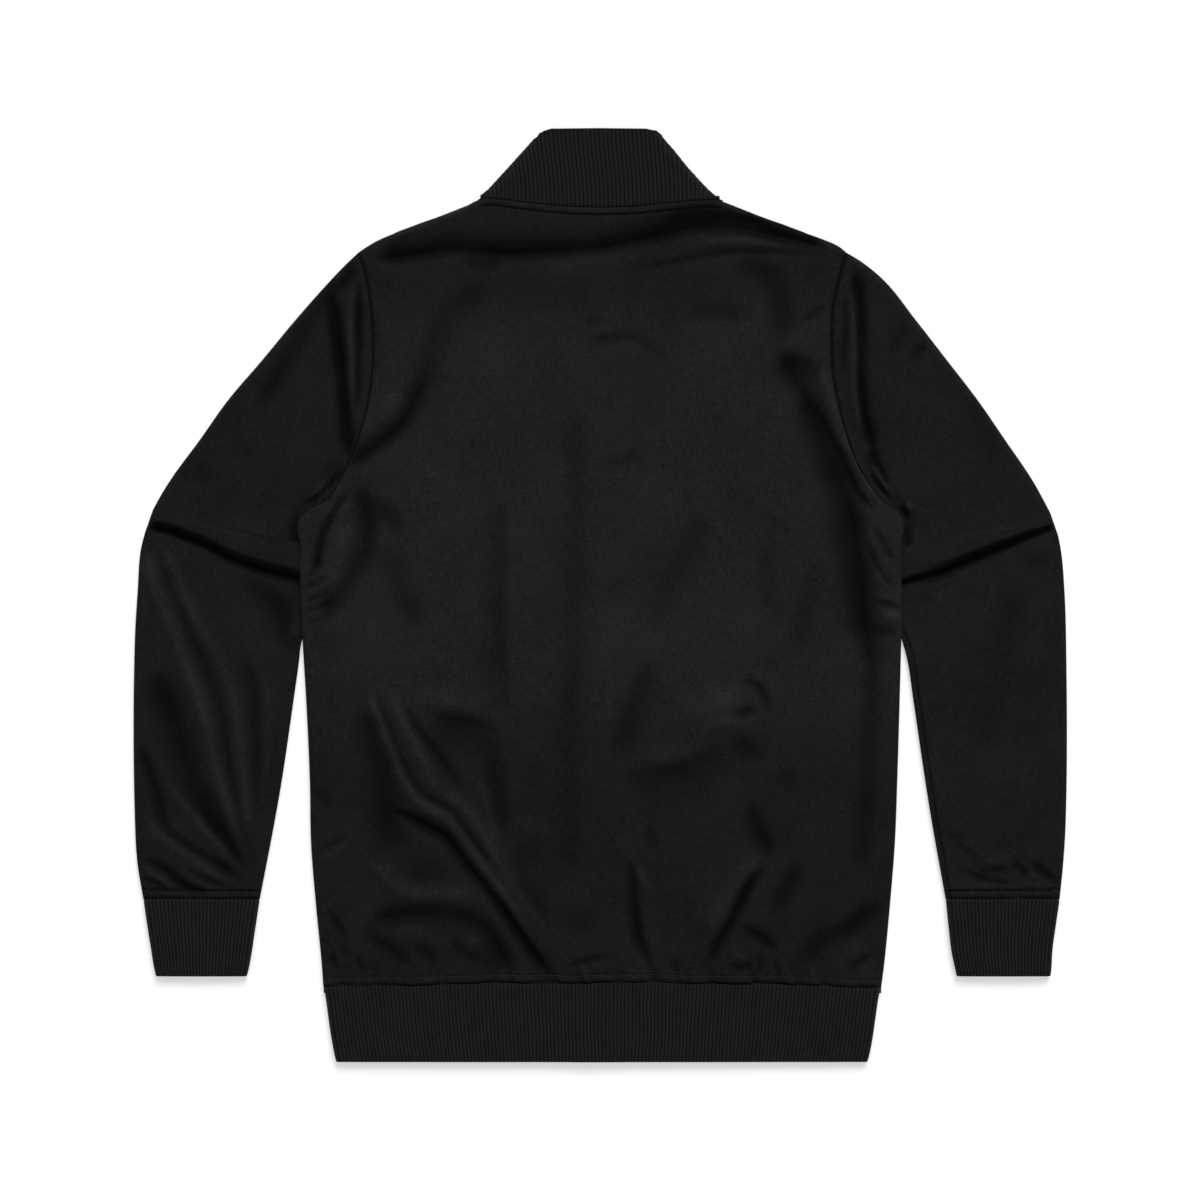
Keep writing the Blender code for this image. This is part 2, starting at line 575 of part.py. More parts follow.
def make_sleeve(side, cloth):
    """A flattened tube with one deep pleat across it at the elbow."""
    width = SLEEVE_WIDTH
    shares = ring_shares(width)
    stations = []
    for n, (x, y) in enumerate(armhole_stations(side)):
        parted = SEAM_GAP / 2 + 0.7 * max(0.0, 1 - n / 4)
        stations.append((x + side * parted, y))
    outer, inner = sleeve_edges(side)
    rings = []
    pleat_rows = [pleat_ring(side, shares, width, row) for row in range(11)]
    first_row, last_row = pleat_rows[0], pleat_rows[-1]
    outer_i, inner_i = 0, next(k for k, (u, _) in enumerate(shares) if u == 1.0)
    for k in range(UPPER_RINGS):
        f = k / UPPER_RINGS
        start_o, start_i = stations[0], stations[-1]
        end_o, end_i = first_row[outer_i], first_row[inner_i]
        edge_o = edge_point(outer, start_o, end_o, f)
        edge_i = edge_point(inner, start_i, end_i, f)
        ring = []
        for n, (u, on_top) in enumerate(shares):
            seam = walk(stations, seam_share(u, stations, width))
            end = first_row[n]
            flat = mix_point(seam, end[:2], f)
            corner_o = mix_point(start_o, end_o[:2], f)
            corner_i = mix_point(start_i, end_i[:2], f)
            x = flat[0] + (1 - u) * (edge_o[0] - corner_o[0]) + u * (edge_i[0] - corner_i[0])
            y = flat[1] + (1 - u) * (edge_o[1] - corner_o[1]) + u * (edge_i[1] - corner_i[1])
            face = mix(mix(SEAM_HEIGHT, 7.4, smooth(f * 4)), SLEEVE_FACE, smooth((f - 0.4) / 0.6))
            face = mix(face, SLEEVE_FACE, smooth((u - 0.72) / 0.14))
            crown = 1.5 * smooth(f * 3)
            middle = mix(EDGE_HEIGHT + 0.4, (SLEEVE_FACE + CLOTH / 2) / 2, f)
            z = ring_height(u, on_top, width, face, crown, middle)
            if on_top and 0.03 < u < 0.97:
                z += fold_height(SLEEVE_FOLDS[side], x, y)
            ring.append((x, y, z))
        rings.append(ring)
    rings += pleat_rows
    for k in range(1, LOWER_RINGS + 1):
        f = k / LOWER_RINGS
        rings.append(lower_ring(side, shares, width, last_row, outer, inner, outer_i, inner_i, f))
    return cloth_sheet("sleeve_left" if side < 0 else "sleeve_right", rings, cloth, closed=True)


def seam_share(u, stations, width):
    """Share along the armhole of a share across the sleeve: the edge steps stay the same size."""
    length = sum(math.dist(a, b) for a, b in zip(stations, stations[1:]))
    from_edge = min(u, 1 - u) * width
    if from_edge <= EDGE_WIDTHS[-1] + 0.01:
        near = from_edge / length
        return near if u < 0.5 else 1 - near
    return u


def edge_point(edge, start, end, f):
    """A point of a sleeve's edge between two heights, fitted to both ends."""
    y = mix(start[1], end[1], f)
    x = edge(y)[0]
    x += (1 - f) * (start[0] - edge(start[1])[0]) + f * (end[0] - edge(end[1])[0])
    return (x, y)


def pleat_ring(side, shares, width, row):
    """One row of points through the pleat."""
    ring = []
    for u, on_top in shares:
        (x, y), overlap, fall = pleat_at(u, side)
        crown = 1.5 * math.sin(math.pi * u) ** 2
        upper = SLEEVE_FACE + 0.4 * (1 - smooth((u - 0.5) / 0.3)) + crown
        from_edge = min(u, 1 - u) * width
        step = mix(0.6, 3.0, smooth(from_edge / 6.5))
        if not on_top:
            overlap = 0.0
        run, drop = pleat_section(overlap, step)[row]
        share = drop / step
        face = upper - drop
        middle = mix((SLEEVE_FACE + CLOTH / 2) / 2, (PLEATED_FACE + CLOTH / 2) / 2 + 0.2, share)
        if on_top:
            z = face if from_edge > 6.5 else mix(middle, face, roll(from_edge))
        else:
            z = mix(middle, CLOTH / 2, roll(from_edge, 5.0))
        inset = side * CLOTH / 2
        ends = inset * ((1 - smooth(u * 12)) * -1 + (1 - smooth((1 - u) * 12)))
        ring.append((x + fall[0] * run + ends, y + fall[1] * run, z))
    return ring


def lower_ring(side, shares, width, first, outer, inner, outer_i, inner_i, f):
    """A ring between the pleat and the cuff seam."""
    end_y = CUFF_SEAM_Y + SEAM_GAP / 2
    start_o, start_i = first[outer_i], first[inner_i]
    end_o, end_i = outer(end_y), inner(end_y)
    edge_o = edge_point(outer, start_o, end_o, f)
    edge_i = edge_point(inner, start_i, end_i, f)
    ring = []
    for n, (u, on_top) in enumerate(shares):
        flat = mix_point(first[n][:2], mix_point(end_o, end_i, u), f)
        corner_o = mix_point(start_o[:2], end_o, f)
        corner_i = mix_point(start_i[:2], end_i, f)
        x = flat[0] + (1 - u) * (edge_o[0] - corner_o[0]) + u * (edge_i[0] - corner_i[0])
        y = flat[1] + (1 - u) * (edge_o[1] - corner_o[1]) + u * (edge_i[1] - corner_i[1])
        start = PLEATED_FACE + 0.4 * (1 - smooth((u - 0.5) / 0.3))
        face = mix(start, 5.0, smooth(f * 4)) if on_top else 0
        crown = mix(1.5, 1.2, f)
        middle = mix((PLEATED_FACE + CLOTH / 2) / 2 + 0.2, EDGE_HEIGHT, smooth(f * 4))
        z = ring_height(u, on_top, width, face, crown, middle)
        if on_top and 0.04 < u < 0.96:
            z += fold_height(SLEEVE_FOLDS[side], x, y) * smooth(f * 4)
        ring.append((x, y, z))
    return ring


# ---- rib knit ----


def rib_columns(width):
    """Shares across a knit face, with a column at each rib and at each valley."""
    count = 2 * round(width / RIB_PITCH)
    return [k / count for k in range(count + 1)]


def rib_rise(raised, rows):
    """How far a column's points stand out: a rib's full height, and less at its folded end."""
    return [RIB_HEIGHT * raised] * (rows - 1) + [RIB_HEIGHT * raised * 0.35]


def plain_columns(ribs, every=8):
    """The columns that the plain inside keeps: each one at the folds, one in eight under ribs."""
    count = len(ribs)
    keep = []
    for i in range(count):
        around = [ribs[k][0] for k in range(max(i - 6, 0), min(i + 7, count))]
        ribbed = sum(rise > 0 for rise in around) >= 6
        if not ribbed or not keep or i - keep[-1] >= every:
            keep.append(i)
    return keep


def knit_height(from_edge, on_top, top=HEM_TOP):
    """Height of a flattened knit tube's wall beside its folded edges."""
    middle = (top + KNIT / 2) / 2
    return mix(middle, top if on_top else KNIT / 2, roll(from_edge, FOLD_WIDTH))


def make_cuff(side, knit):
    """A flattened knit tube. Its ribs stand up on the upper side; beneath, it rests flat."""
    column = side_column(side)
    levels = (CUFF_SEAM_Y - SEAM_GAP / 2, -290.0, -317.0, CUFF_END_Y)
    face = [mix(0.98, 0.02, u) for u in rib_columns(88.0)]
    path = [(1.0, True, 0)] + [(u, True, k % 2) for k, u in enumerate(face)]
    path += [(u, False, 0) for u in (0.0, 0.02, 0.06, 0.3, 0.7, 0.94, 0.98)]
    columns, ribs = [], []
    for u, on_top, raised in path:
        points = []
        for y in levels:
            edges = sorted((read(CUFF_OUTER, y, column), read(CUFF_INNER, y, column)))
            left, right = edges[0] + KNIT / 2, edges[1] - KNIT / 2
            z = knit_height(min(u, 1 - u) * (right - left), on_top)
            swell = 0.6 * math.sin(math.pi * u) if on_top else 0.0
            points.append((mix(left, right, u), y, z + swell))
        columns.append(points)
        ribs.append(rib_rise(raised, len(levels)))
    name = "cuff_left" if side < 0 else "cuff_right"
    return rib_wall(name, columns, ribs, plain_columns(ribs), knit, closed=True)


def hem_point(x_share, y, on_top):
    """A point of the hem band. The share runs from its left fold, 0, to its right fold, 1."""
    left = read(HEM_SIDE, y, 1) + KNIT / 2
    right = read(HEM_SIDE, y, 2) - KNIT / 2
    x = mix(left, right, x_share)
    z = knit_height(min(x_share, 1 - x_share) * (right - left), on_top)
    if on_top:
        z += 0.5 * math.sin(math.pi * x_share) + 0.45 * zip_lift(x)
    else:
        z += zip_lift(x)
    return x, z


def make_hem(knit):
    """The hem band: in from the zip beneath, round one side, over the back and round again."""
    beneath = (0.51, 0.53, 0.56, 0.62, 0.8, 0.988, 0.997)
    levels = (0.0, 0.955, 1.0)
    face = rib_columns(452.0)
    path = [(u, False, 0) for u in beneath]
    path += [(1.0, True, 0)] + [(mix(0.996, 0.004, u), True, k % 2) for k, u in enumerate(face)]
    path += [(0.0, True, 0)] + [(1 - u, False, 0) for u in reversed(beneath)]
    columns, ribs = [], []
    for share, on_top, raised in path:
        points = []
        for level in levels:
            y = mix(HEM_SEAM_Y, HEM_END_Y, level)
            x, z = hem_point(share, y, on_top)
            if not on_top and abs(share - 0.5) < 0.02:      # the two ends beside the zip
                x = math.copysign(ZIP_HALF, share - 0.5)
            y += (hem_y(x) - HEM_SEAM_Y - SEAM_GAP / 2) * (1 - level)
            points.append((x, y, z))
        columns.append(points)
        ribs.append(rib_rise(raised, len(levels)))
    return rib_wall("hem_rib", columns, ribs, plain_columns(ribs), knit)


# ---- collar ----
COLLAR_FOLD = math.atan2(COLLAR_TOP_Y - COLLAR_FOLD_Y, NECK_HALF - COLLAR_TOP_HALF)
ROW_STEPS = (-5.0, -1.5, 0.0, 1.5, 5.0)    # rows beside the collar's slanted side folds
LEAST_STEP = 0.4


def collar_rows(depth, fold_at):
    """Distances up a rib of the collar: its seam, rows beside the side fold, and its end."""
    rows = [0.0] + [fold_at + step for step in ROW_STEPS] + [depth]
    for k in range(1, len(rows)):
        rows[k] = max(rows[k], rows[k - 1] + LEAST_STEP)
    rows[-1] = depth
    for k in range(len(rows) - 2, 0, -1):
        rows[k] = min(rows[k], rows[k + 1] - LEAST_STEP)
    return rows


def collar_back_column(x):
    """A rib of the collar's back: straight up, and over the slanted fold where it meets it.

    Returns its points, and for each of them whether it still lies on the upper side.
    """
    side = -1 if x < 0 else 1
    base_y = neck_seam_y(x) + SEAM_GAP + 3.0 * smooth((abs(x) - 82) / 15)
    fold_y = COLLAR_FOLD_Y + (NECK_HALF - abs(x)) * math.tan(COLLAR_FOLD)
    straight = COLLAR_TOP_Y - base_y
    crosses = fold_y < COLLAR_TOP_Y
    to_corner = (abs(x) - COLLAR_TOP_HALF) / (NECK_HALF - COLLAR_TOP_HALF)
    depth = mix(straight, COLLAR_DEPTH, smooth(to_corner)) if crosses else straight
    fold_at = max(fold_y - base_y, 0.3) if crosses else depth
    turned = 2 * COLLAR_FOLD - math.pi / 2
    points, above = [], []
    for along in collar_rows(depth, fold_at):
        top = mix(COLLAR_SEAM_Z, COLLAR_END_Z, along / COLLAR_DEPTH)
        middle = (top + KNIT / 2) / 2
        from_fold = abs(fold_y - base_y - along) * math.cos(COLLAR_FOLD)
        beyond = along - fold_at
        if beyond <= 0 or not crosses:
            points.append((x, base_y + along, mix(middle, top, roll(from_fold, 5.0))))
        else:
            px = x - side * beyond * math.cos(turned)
            py = base_y + fold_at + beyond * math.sin(turned)
            points.append((px, py, mix(middle, KNIT / 2, roll(from_fold, 5.0)) + zip_lift(px)))
        above.append(beyond < -2.0)
    return points, above


def collar_front_column(side, n):
    """A rib of the collar's front half beneath, fanned from the fold to the centre front."""
    x, y = neckline_stations(side)[n]
    share = NECKLINE_SHARES[n]
    x -= side * SEAM_GAP / 2 * (1 - share)
    y += SEAM_GAP / 2
    turn = mix(2 * COLLAR_FOLD - math.pi / 2, math.pi / 2, share)
    points = []
    for along in collar_rows(COLLAR_DEPTH, 0.0):
        px = x - side * along * math.cos(turn)
        points.append((px, y + along * math.sin(turn), KNIT / 2 + zip_lift(px)))
    return points


def make_collar(knit):
    """The stand collar, folded flat: its back above, its two front halves beneath."""
    front = list(range(len(NECKLINE_SHARES) - 1, 0, -1))
    columns = [collar_front_column(-1, n) for n in front]
    flat = [0.0] * len(columns[0])
    ribs = [flat] * len(front)
    half = NECK_HALF - 3.0
    for k, u in enumerate(rib_columns(2 * half)):
        points, above = collar_back_column(mix(-half, half, u))
        columns.append(points)
        ribs.append([RIB_HEIGHT * (k % 2) * (0.35 if j == len(points) - 1 else 1.0) * up
                     for j, up in enumerate(above)])
    columns += [collar_front_column(1, n) for n in reversed(front)]
    ribs += [flat] * len(front)
    return rib_wall("collar", columns, ribs, plain_columns(ribs), knit)


# ---- zip ----

def make_tape(side, cloth):
    """A zip tape: the front's own edge points, moved up by the two walls."""
    rows = []
    near = CHAIN_HALF + SEAM_GAP
    for y in (SLIDER_Y + 6, 200.0, 100.0, 0.0, -100.0, -200.0, -312.0, HEM_SEAM_Y + 1.0,
              HEM_END_Y + 3.0):
        width = mix(TAPE_WIDTH, 1.2, smooth((-312.0 - y) / 13.0))      # narrower over the hem band
        rows.append([(side * (near + width * share), y, zip_lift(0) + CLOTH + TAPE)
                     for share in (0.0, 0.45, 1.0)])
    return cloth_sheet("zip_tape_left" if side < 0 else "zip_tape_right", rows, cloth, wall=TAPE)


def block(name, xs, ys, zs, material_used):
    """A plain block, given its range along each axis."""
    shape = bmesh.new()
    bmesh.ops.create_cube(shape, size=1.0)
    for vert in shape.verts:
        vert.co = Vector([mix(low, high, c + 0.5) * MM for (low, high), c in zip((xs, ys, zs), vert.co)])
    mesh = bpy.data.meshes.new(name)
    shape.to_mesh(mesh)
    shape.free()
    obj = bpy.data.objects.new(name, mesh)
    jacket.objects.link(obj)
    obj.data.materials.append(material_used)
    return obj


def join(obj, others):
    """Unites blocks with an object by Boolean modifiers, and hides them."""
    for other in others:
        union = obj.modifiers.new("with " + other.name, "BOOLEAN")
        union.operation = "UNION"
        union.solver = "EXACT"
        union.object = other
        other.hide_render = True
        other.display_type = "WIRE"
        jacket.objects.unlink(other)
        cutters.objects.link(other)


def make_slider(metal):
    """The slider's two plates and post round the chain, and the bail that holds the pull tab."""
    y = SLIDER_Y
    wide, long = (-SLIDER_WIDE, SLIDER_WIDE), (y - SLIDER_LONG, y + SLIDER_LONG)
    bail = (-1.0, 1.0)
    plate = block("zip_slider", wide, long, (2.5, 3.4), metal)
    others = [block("slider_back_plate", wide, long, (5.6, 6.5), metal),
              block("slider_post", (-1.2, 1.2), (y + 2.5, y + SLIDER_LONG), (3.0, 6.0), metal),
              block("slider_bail", bail, (y - 3.0, y + 3.0), (0.3, 0.85), metal),
              block("slider_bail_leg_a", bail, (y - 3.0, y - 2.2), (0.5, 2.8), metal),
              block("slider_bail_leg_b", bail, (y + 2.2, y + 3.0), (0.5, 2.8), metal)]
    join(plate, others)
    return plate


def make_pull(metal):
    """The pull tab: a bar through the bail, two arms beside it and a plate towards the hem."""
    y, height = SLIDER_Y, (PIVOT_Z - 0.5, PIVOT_Z + 0.5)
    tab = block("zip_pull", (-PULL_HALF, PULL_HALF), (y - PULL_LENGTH, y - 4.5), height, metal)
    others = [block("pull_bar", (-PULL_HALF, PULL_HALF), (y - 0.5, y + 0.5), height, metal),
              block("pull_arm_a", (-PULL_HALF, -1.6), (y - 5.0, y + 0.2), height, metal),
              block("pull_arm_b", (1.6, PULL_HALF), (y - 5.0, y + 0.2), height, metal)]
    join(tab, others)
    return tab


jacket = bpy.data.collections.new("bomber_jacket")
cutters = bpy.data.collections.new("bomber_jacket_joined_blocks")


def main():
    for obj in list(bpy.data.objects):
        bpy.data.objects.remove(obj, do_unlink=True)
    bpy.context.scene.collection.children.link(jacket)
    bpy.context.scene.collection.children.link(cutters)
    twill = material("black_twill", BLACK_TWILL, 0.85)
    knit = material("black_rib_knit", BLACK_KNIT, 0.95)
    metal = material("dark_zip_metal", DARK_METAL, 0.4, 1.0)
    make_back(twill)
    for side in (-1, 1):
        make_front(side, twill.copy())
        make_sleeve(side, twill.copy())
        make_cuff(side, knit.copy())
        make_tape(side, twill.copy())
    make_hem(knit.copy())
    make_collar(knit)
    block("zip_chain", (-CHAIN_HALF, CHAIN_HALF), (HEM_END_Y + 1.0, SLIDER_Y + 2.2),
          (CHAIN_LOW, CHAIN_HIGH), metal.copy())
    make_slider(metal)
    make_pull(metal.copy())


main()
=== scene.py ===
import math

import bpy
import numpy as np
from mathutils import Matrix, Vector


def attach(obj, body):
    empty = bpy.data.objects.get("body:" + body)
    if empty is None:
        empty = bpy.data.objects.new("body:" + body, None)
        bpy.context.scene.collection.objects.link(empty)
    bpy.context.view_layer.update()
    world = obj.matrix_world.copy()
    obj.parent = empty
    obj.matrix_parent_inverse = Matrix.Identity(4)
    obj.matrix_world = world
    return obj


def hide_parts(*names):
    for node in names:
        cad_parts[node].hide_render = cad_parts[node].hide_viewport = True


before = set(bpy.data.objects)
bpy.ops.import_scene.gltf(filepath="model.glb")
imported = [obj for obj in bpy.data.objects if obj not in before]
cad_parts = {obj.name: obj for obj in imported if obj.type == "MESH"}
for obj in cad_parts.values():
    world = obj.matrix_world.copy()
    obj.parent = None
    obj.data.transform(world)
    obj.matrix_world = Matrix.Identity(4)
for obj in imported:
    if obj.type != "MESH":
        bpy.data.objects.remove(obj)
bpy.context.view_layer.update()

# A rib-knit bomber jacket laid flat with its back up. Sizes are in millimetres until a mesh is made.
# A side is -1 for the left and 1 for the right, as seen from above.
mm = 0.001

jacket = {
    "backHeight": 9.0,          # of the back's face at its middle
    "seamHeight": 7.0,          # of the face along the armhole seams
    "edgeHeight": 3.0,          # of the folded side edge
    "tuckLift": 6.0,            # where the body's edge lies on a sleeve
    "zipLift": 2.5,
    "zipHalf": 4.5,
    "floorGap": 0.05,           # between the lowest cloth and the floor
    "hemSeam": -326.0,
    "hemEnd": -392.5,
    "cuffSeam": -255.5,
    "cuffEnd": -320.5,
    "neckHalf": 102.0,
    "frontNeck": 256.0,
    "armTop": 288.0,
    "underarm": 80.0,           # where the armhole ends and the folded side edge starts
    "armLength": 235.0,         # along the armhole
    "sideLength": 406.0,        # from the underarm to the hem's seam
    "neckStitch": 5.6,          # from a seam to the stitch row beside it
    "hemStitch": 6.6,
    "cuffStitch": 7.4,
    # rows of the outlines: height, left edge, right edge
    "armhole": [(288, -203, 207), (265, -196, 200.5), (238, -192, 195), (212, -190.6, 194.5),
                (186, -191.5, 195.7), (157, -196, 201.3), (128, -204.7, 209.5), (104, -215, 219.5),
                (80, -228, 235)],
    "side": [(80, -228, 235), (66, -251, 252.5), (40, -252, 253), (-46, -249.5, 253), (-88, -247, 252),
             (-155, -244, 250), (-206, -243, 248), (-256, -239, 244), (-307, -234, 239),
             (-326, -232.5, 236.5)],
    "sleeveOuter": [(288, -203, 207), (280, -211.5, 220), (265, -226, 238), (231, -256, 265),
                    (197, -284, 291), (164, -312, 316), (130, -336, 339), (97, -360, 361), (71, -375, 375),
                    (55, -381.5, 383), (38, -386, 387), (4, -388.5, 390), (-40, -391, 391.5),
                    (-190, -391, 391.5), (-225, -389, 389.5), (-255.5, -384, 386.5)],
    "sleeveInner": [(80, -228, 235), (70, -239, 243), (60, -244, 247), (40, -245.5, 247.5),
                    (12, -241, 243.5), (-20, -244, 247), (-42, -250.8, 254.6), (-55, -252.3, 258),
                    (-88, -257, 263), (-155, -267, 273), (-189, -273, 278.5), (-255.5, -286, 290.5)],
    "cuffOuter": [(-255.5, -384, 386.5), (-290, -379, 381.5), (-314, -375.2, 379.3),
                  (-320.5, -373.6, 378.3)],
    "cuffInner": [(-255.5, -286, 290.5), (-290, -291.5, 294.3), (-314, -295.8, 298.3),
                  (-320.5, -297.5, 299.5)],
    "hemSide": [(-326, -232, 235.5), (-357, -228, 231), (-387, -223, 226.2), (-392.5, -221.6, 224.6)],
    # off centre, height on the left, height on the right
    "shoulder": [(0, 325, 325), (30, 326, 326), (60, 329, 329), (102, 332, 331), (115.5, 325.5, 325.2),
                 (134.5, 318.5, 318.2), (153, 312, 312), (170.5, 305, 305.2), (187, 298, 299.2),
                 (198, 291.5, 294.6), (203, 288, 291.5), (207, 286, 288)],
}


def smooth(t):
    t = np.clip(t, 0.0, 1.0)
    return t * t * (3 - 2 * t)


def mix(a, b, t):
    return a + (b - a) * t


def roll(distance, width=6.0):
    # share of its full height that a folded edge has reached
    t = np.clip(np.asarray(distance) / width, 0.0, 1.0)
    return np.sqrt(1 - (1 - t) ** 2)


def near(distance, width):
    return np.exp(-(np.asarray(distance) / width) ** 2)


def sideColumn(side):
    # of a table with rows of height, left edge, right edge
    return 1 if side < 0 else 2


def sided(word, side):
    return word + ("Left" if side < 0 else "Right")


def distances(points):
    # along a line, at each of its points
    steps = np.linalg.norm(np.diff(points, axis=0), axis=-1)
    return np.concatenate([[0.0], np.cumsum(steps)])


def readCurve(rows, key, column):
    # a smooth curve through a table's rows
    rows = sorted(rows)
    keys = np.array([row[0] for row in rows], float)
    values = np.array([row[column] for row in rows], float)
    steps = np.diff(values) / np.diff(keys)
    slopes = np.concatenate([steps[:1], (steps[1:] + steps[:-1]) / 2, steps[-1:]])
    key = np.clip(key, keys[0], keys[-1])
    i = np.clip(np.searchsorted(keys, key, side="right") - 1, 0, len(keys) - 2)
    span = keys[i + 1] - keys[i]
    t = (key - keys[i]) / span
    return (values[i] * (1 + 2 * t) * (1 - t) ** 2 + values[i + 1] * t * t * (3 - 2 * t)
            + span * (slopes[i] * t * (1 - t) ** 2 - slopes[i + 1] * t * t * (1 - t)))


def walkLine(points, shares):
    # points at shares of the length of a line
    points = np.array(points, float)
    done = distances(points)
    at = np.asarray(shares) * done[-1]
    return np.stack([np.interp(at, done, points[:, k]) for k in (0, 1)], axis=-1)


foldShape = {
    "routeStep": 5,             # between the points that a route is read at
    "fade": (0.45, 24.0),       # length over which an end fades, as a share of the route, and at most
    "waves": [(0.16, 17, 2.3), (0.08, 7.3, 1)],     # share, length, shift from one fold to the next
    "deep": (1.6, 2.4),         # depth from which a trough gets a sharp middle, and over what range
    "narrow": 0.55,             # width of that middle, as a share
}


def smoothRoute(route):
    points = np.reshape(np.array(route, float), (-1, 2))
    done = distances(points)
    rows = [(s, x, y) for s, (x, y) in zip(done, points)]
    at = np.linspace(0, done[-1], max(3, int(done[-1] / foldShape["routeStep"]) + 2))
    return np.stack([readCurve(rows, at, 1), readCurve(rows, at, 2)], axis=-1)


def foldField(folds, x, y, gain=1.0):
    # height that a table of folds adds. A row has the fold's name, its rise, its width left and
    # right of its route, and the route as x, y, x, y and so on
    made = foldShape
    total = np.zeros_like(x)
    for number, (name, rise, leftWidth, rightWidth, route) in enumerate(folds):
        line = smoothRoute(route)
        reach = 3 * max(leftWidth, rightWidth)
        low, high = line.min(axis=0) - reach, line.max(axis=0) + reach
        inside = (x > low[0]) & (x < high[0]) & (y > low[1]) & (y < high[1])
        if not inside.any():
            continue
        px, py = x[inside], y[inside]
        best = np.full(px.shape, np.inf)
        along, turn = np.zeros_like(px), np.zeros_like(px)
        done = 0.0
        for (ax, ay), (bx, by) in zip(line[:-1], line[1:]):
            dx, dy = bx - ax, by - ay
            length = math.hypot(dx, dy)
            t = np.clip(((px - ax) * dx + (py - ay) * dy) / length ** 2, 0, 1)
            ex, ey = px - ax - t * dx, py - ay - t * dy
            away = np.hypot(ex, ey)
            closer = away < best
            best = np.where(closer, away, best)
            along = np.where(closer, done + t * length, along)
            turn = np.where(closer, (dx * ey - dy * ex) / length, turn)
            done += length
        fade = min(made["fade"][0] * done, made["fade"][1])
        ends = smooth(along / fade + 0.1) * smooth((done - along) / fade + 0.1)
        lively = 1 + sum(share * np.sin(along / size + shift * number)
                         for share, size, shift in made["waves"])
        width = mix(rightWidth, leftWidth, smooth(turn / 3 + 0.5)) * (0.7 + 0.3 * ends)
        soft = np.exp(-(best / width) ** 2)
        sharp = 0.55 * soft + 0.6 * np.exp(-best / (made["narrow"] * width))
        deep = float(smooth((-rise - made["deep"][0]) / made["deep"][1]))
        total[inside] += rise * gain * ends * lively * mix(soft, sharp, deep)
    return total


def unevenField(x, y, size, seed):
    # soft random hills of one size, about one high
    count = 128
    field = np.random.default_rng(seed).standard_normal((count, count))
    gx, gy = (x + 600) / size, (y + 600) / size
    i, j = np.floor(gx).astype(int), np.floor(gy).astype(int)
    fx, fy = smooth(gx - i), smooth(gy - j)
    i, j, k, n = i % count, j % count, (i + 1) % count, (j + 1) % count
    return mix(mix(field[i, j], field[k, j], fx), mix(field[i, n], field[k, n], fx), fy)


def addUneven(z, rows, x, y, shift=0):
    for size, height, seed in rows:
        z = z + height * unevenField(x, y, size, seed + shift)
    return z


def edgeSteps(length, step, both=True):
    # shares along a length: close beside its ends, then even
    close = np.array([0, 0.35, 0.8, 1.4, 2.1, 2.9, 3.7, 4.5, 5.3, 6.1, 6.9, 7.8, 8.8, 10.0])
    last = length - close[-1] if both else length
    count = max(2, int(round((last - close[-1]) / step)))
    middle = np.linspace(close[-1], last, count + 1)[1:]
    ends = length - close[::-1][1:] if both else np.array([])
    return np.concatenate([close, middle, ends]) / length


def newPiece(name, points, faces, soft=True):
    mesh = bpy.data.meshes.new(name)
    mesh.from_pydata((np.asarray(points) * mm).tolist(), [], faces)
    if soft:
        mesh.shade_smooth()
    piece = bpy.data.objects.new(name, mesh)
    bpy.context.scene.collection.objects.link(piece)
    return piece


def gridPiece(name, points, closed=False, up=True, paintedShading=None):
    # a quad mesh through rows of points, its faces turned outwards
    rows, count = points.shape[:2]
    index = np.arange(rows * count).reshape(rows, count)
    beside = np.roll(index, -1, axis=1) if closed else index[:, 1:]
    here = index if closed else index[:, :-1]
    corners = [here[:-1], here[1:], beside[1:], beside[:-1]]
    faces = np.stack(corners if up else corners[::-1], axis=-1).reshape(-1, 4)
    piece = newPiece(name, points.reshape(-1, 3), faces.tolist())
    # painted shade and painted highlight for each point, read by the finishes
    if paintedShading is not None:
        layer = piece.data.attributes.new("paintedShading", "FLOAT", "POINT")
        layer.data.foreach_set("value", np.asarray(paintedShading, dtype=np.float32).ravel())
    return piece


def tubeFaces(first, rings, size):
    # faces of a closed tube, whose rings of points follow each other from number first on
    faces = []
    for r in range(rings - 1):
        for k in range(size):
            here, beside = first + r * size + k, first + r * size + (k + 1) % size
            faces.append((here, beside, beside + size, here + size))
    faces.append(tuple(first + k for k in reversed(range(size))))
    faces.append(tuple(first + (rings - 1) * size + k for k in range(size)))
    return faces


def sideX(y, side):
    y = np.asarray(y, float)
    return np.where(y >= jacket["underarm"], readCurve(jacket["armhole"], y, sideColumn(side)),
                    readCurve(jacket["side"], y, sideColumn(side)))


def tuckLift(x, y):
    # where the body's folded edge lies on the sleeve
    along = smooth((106 - y) / 25) * smooth((y + 62) / 42)
    level = np.minimum(y, 66)
    edge = np.where(x < 0, -sideX(level, -1), sideX(level, 1))
    return jacket["tuckLift"] * along * (1 - smooth((edge - abs(x) - 26) / 20))


def zipLift(x):
    return jacket["zipLift"] * (1 - smooth((abs(x) - 8) / 24))


def neckY(x):
    return np.where(x < 0, readCurve(jacket["shoulder"], abs(x), 1), readCurve(jacket["shoulder"], abs(x), 2))


def hemY(x):
    return jacket["hemSeam"] - 4.0 * (abs(x) / 235) ** 2 + 0.5 * np.sin(x / 19) + 0.35 * np.sin(x / 7.3 + 1)


def edgeMiddle(x, y):
    return jacket["edgeHeight"] + 0.87 * tuckLift(x, y)


def armholeLine(side):
    y = np.arange(jacket["armTop"], jacket["underarm"] - 1, -4.0)
    return np.stack([readCurve(jacket["armhole"], y, sideColumn(side)), y], axis=-1)


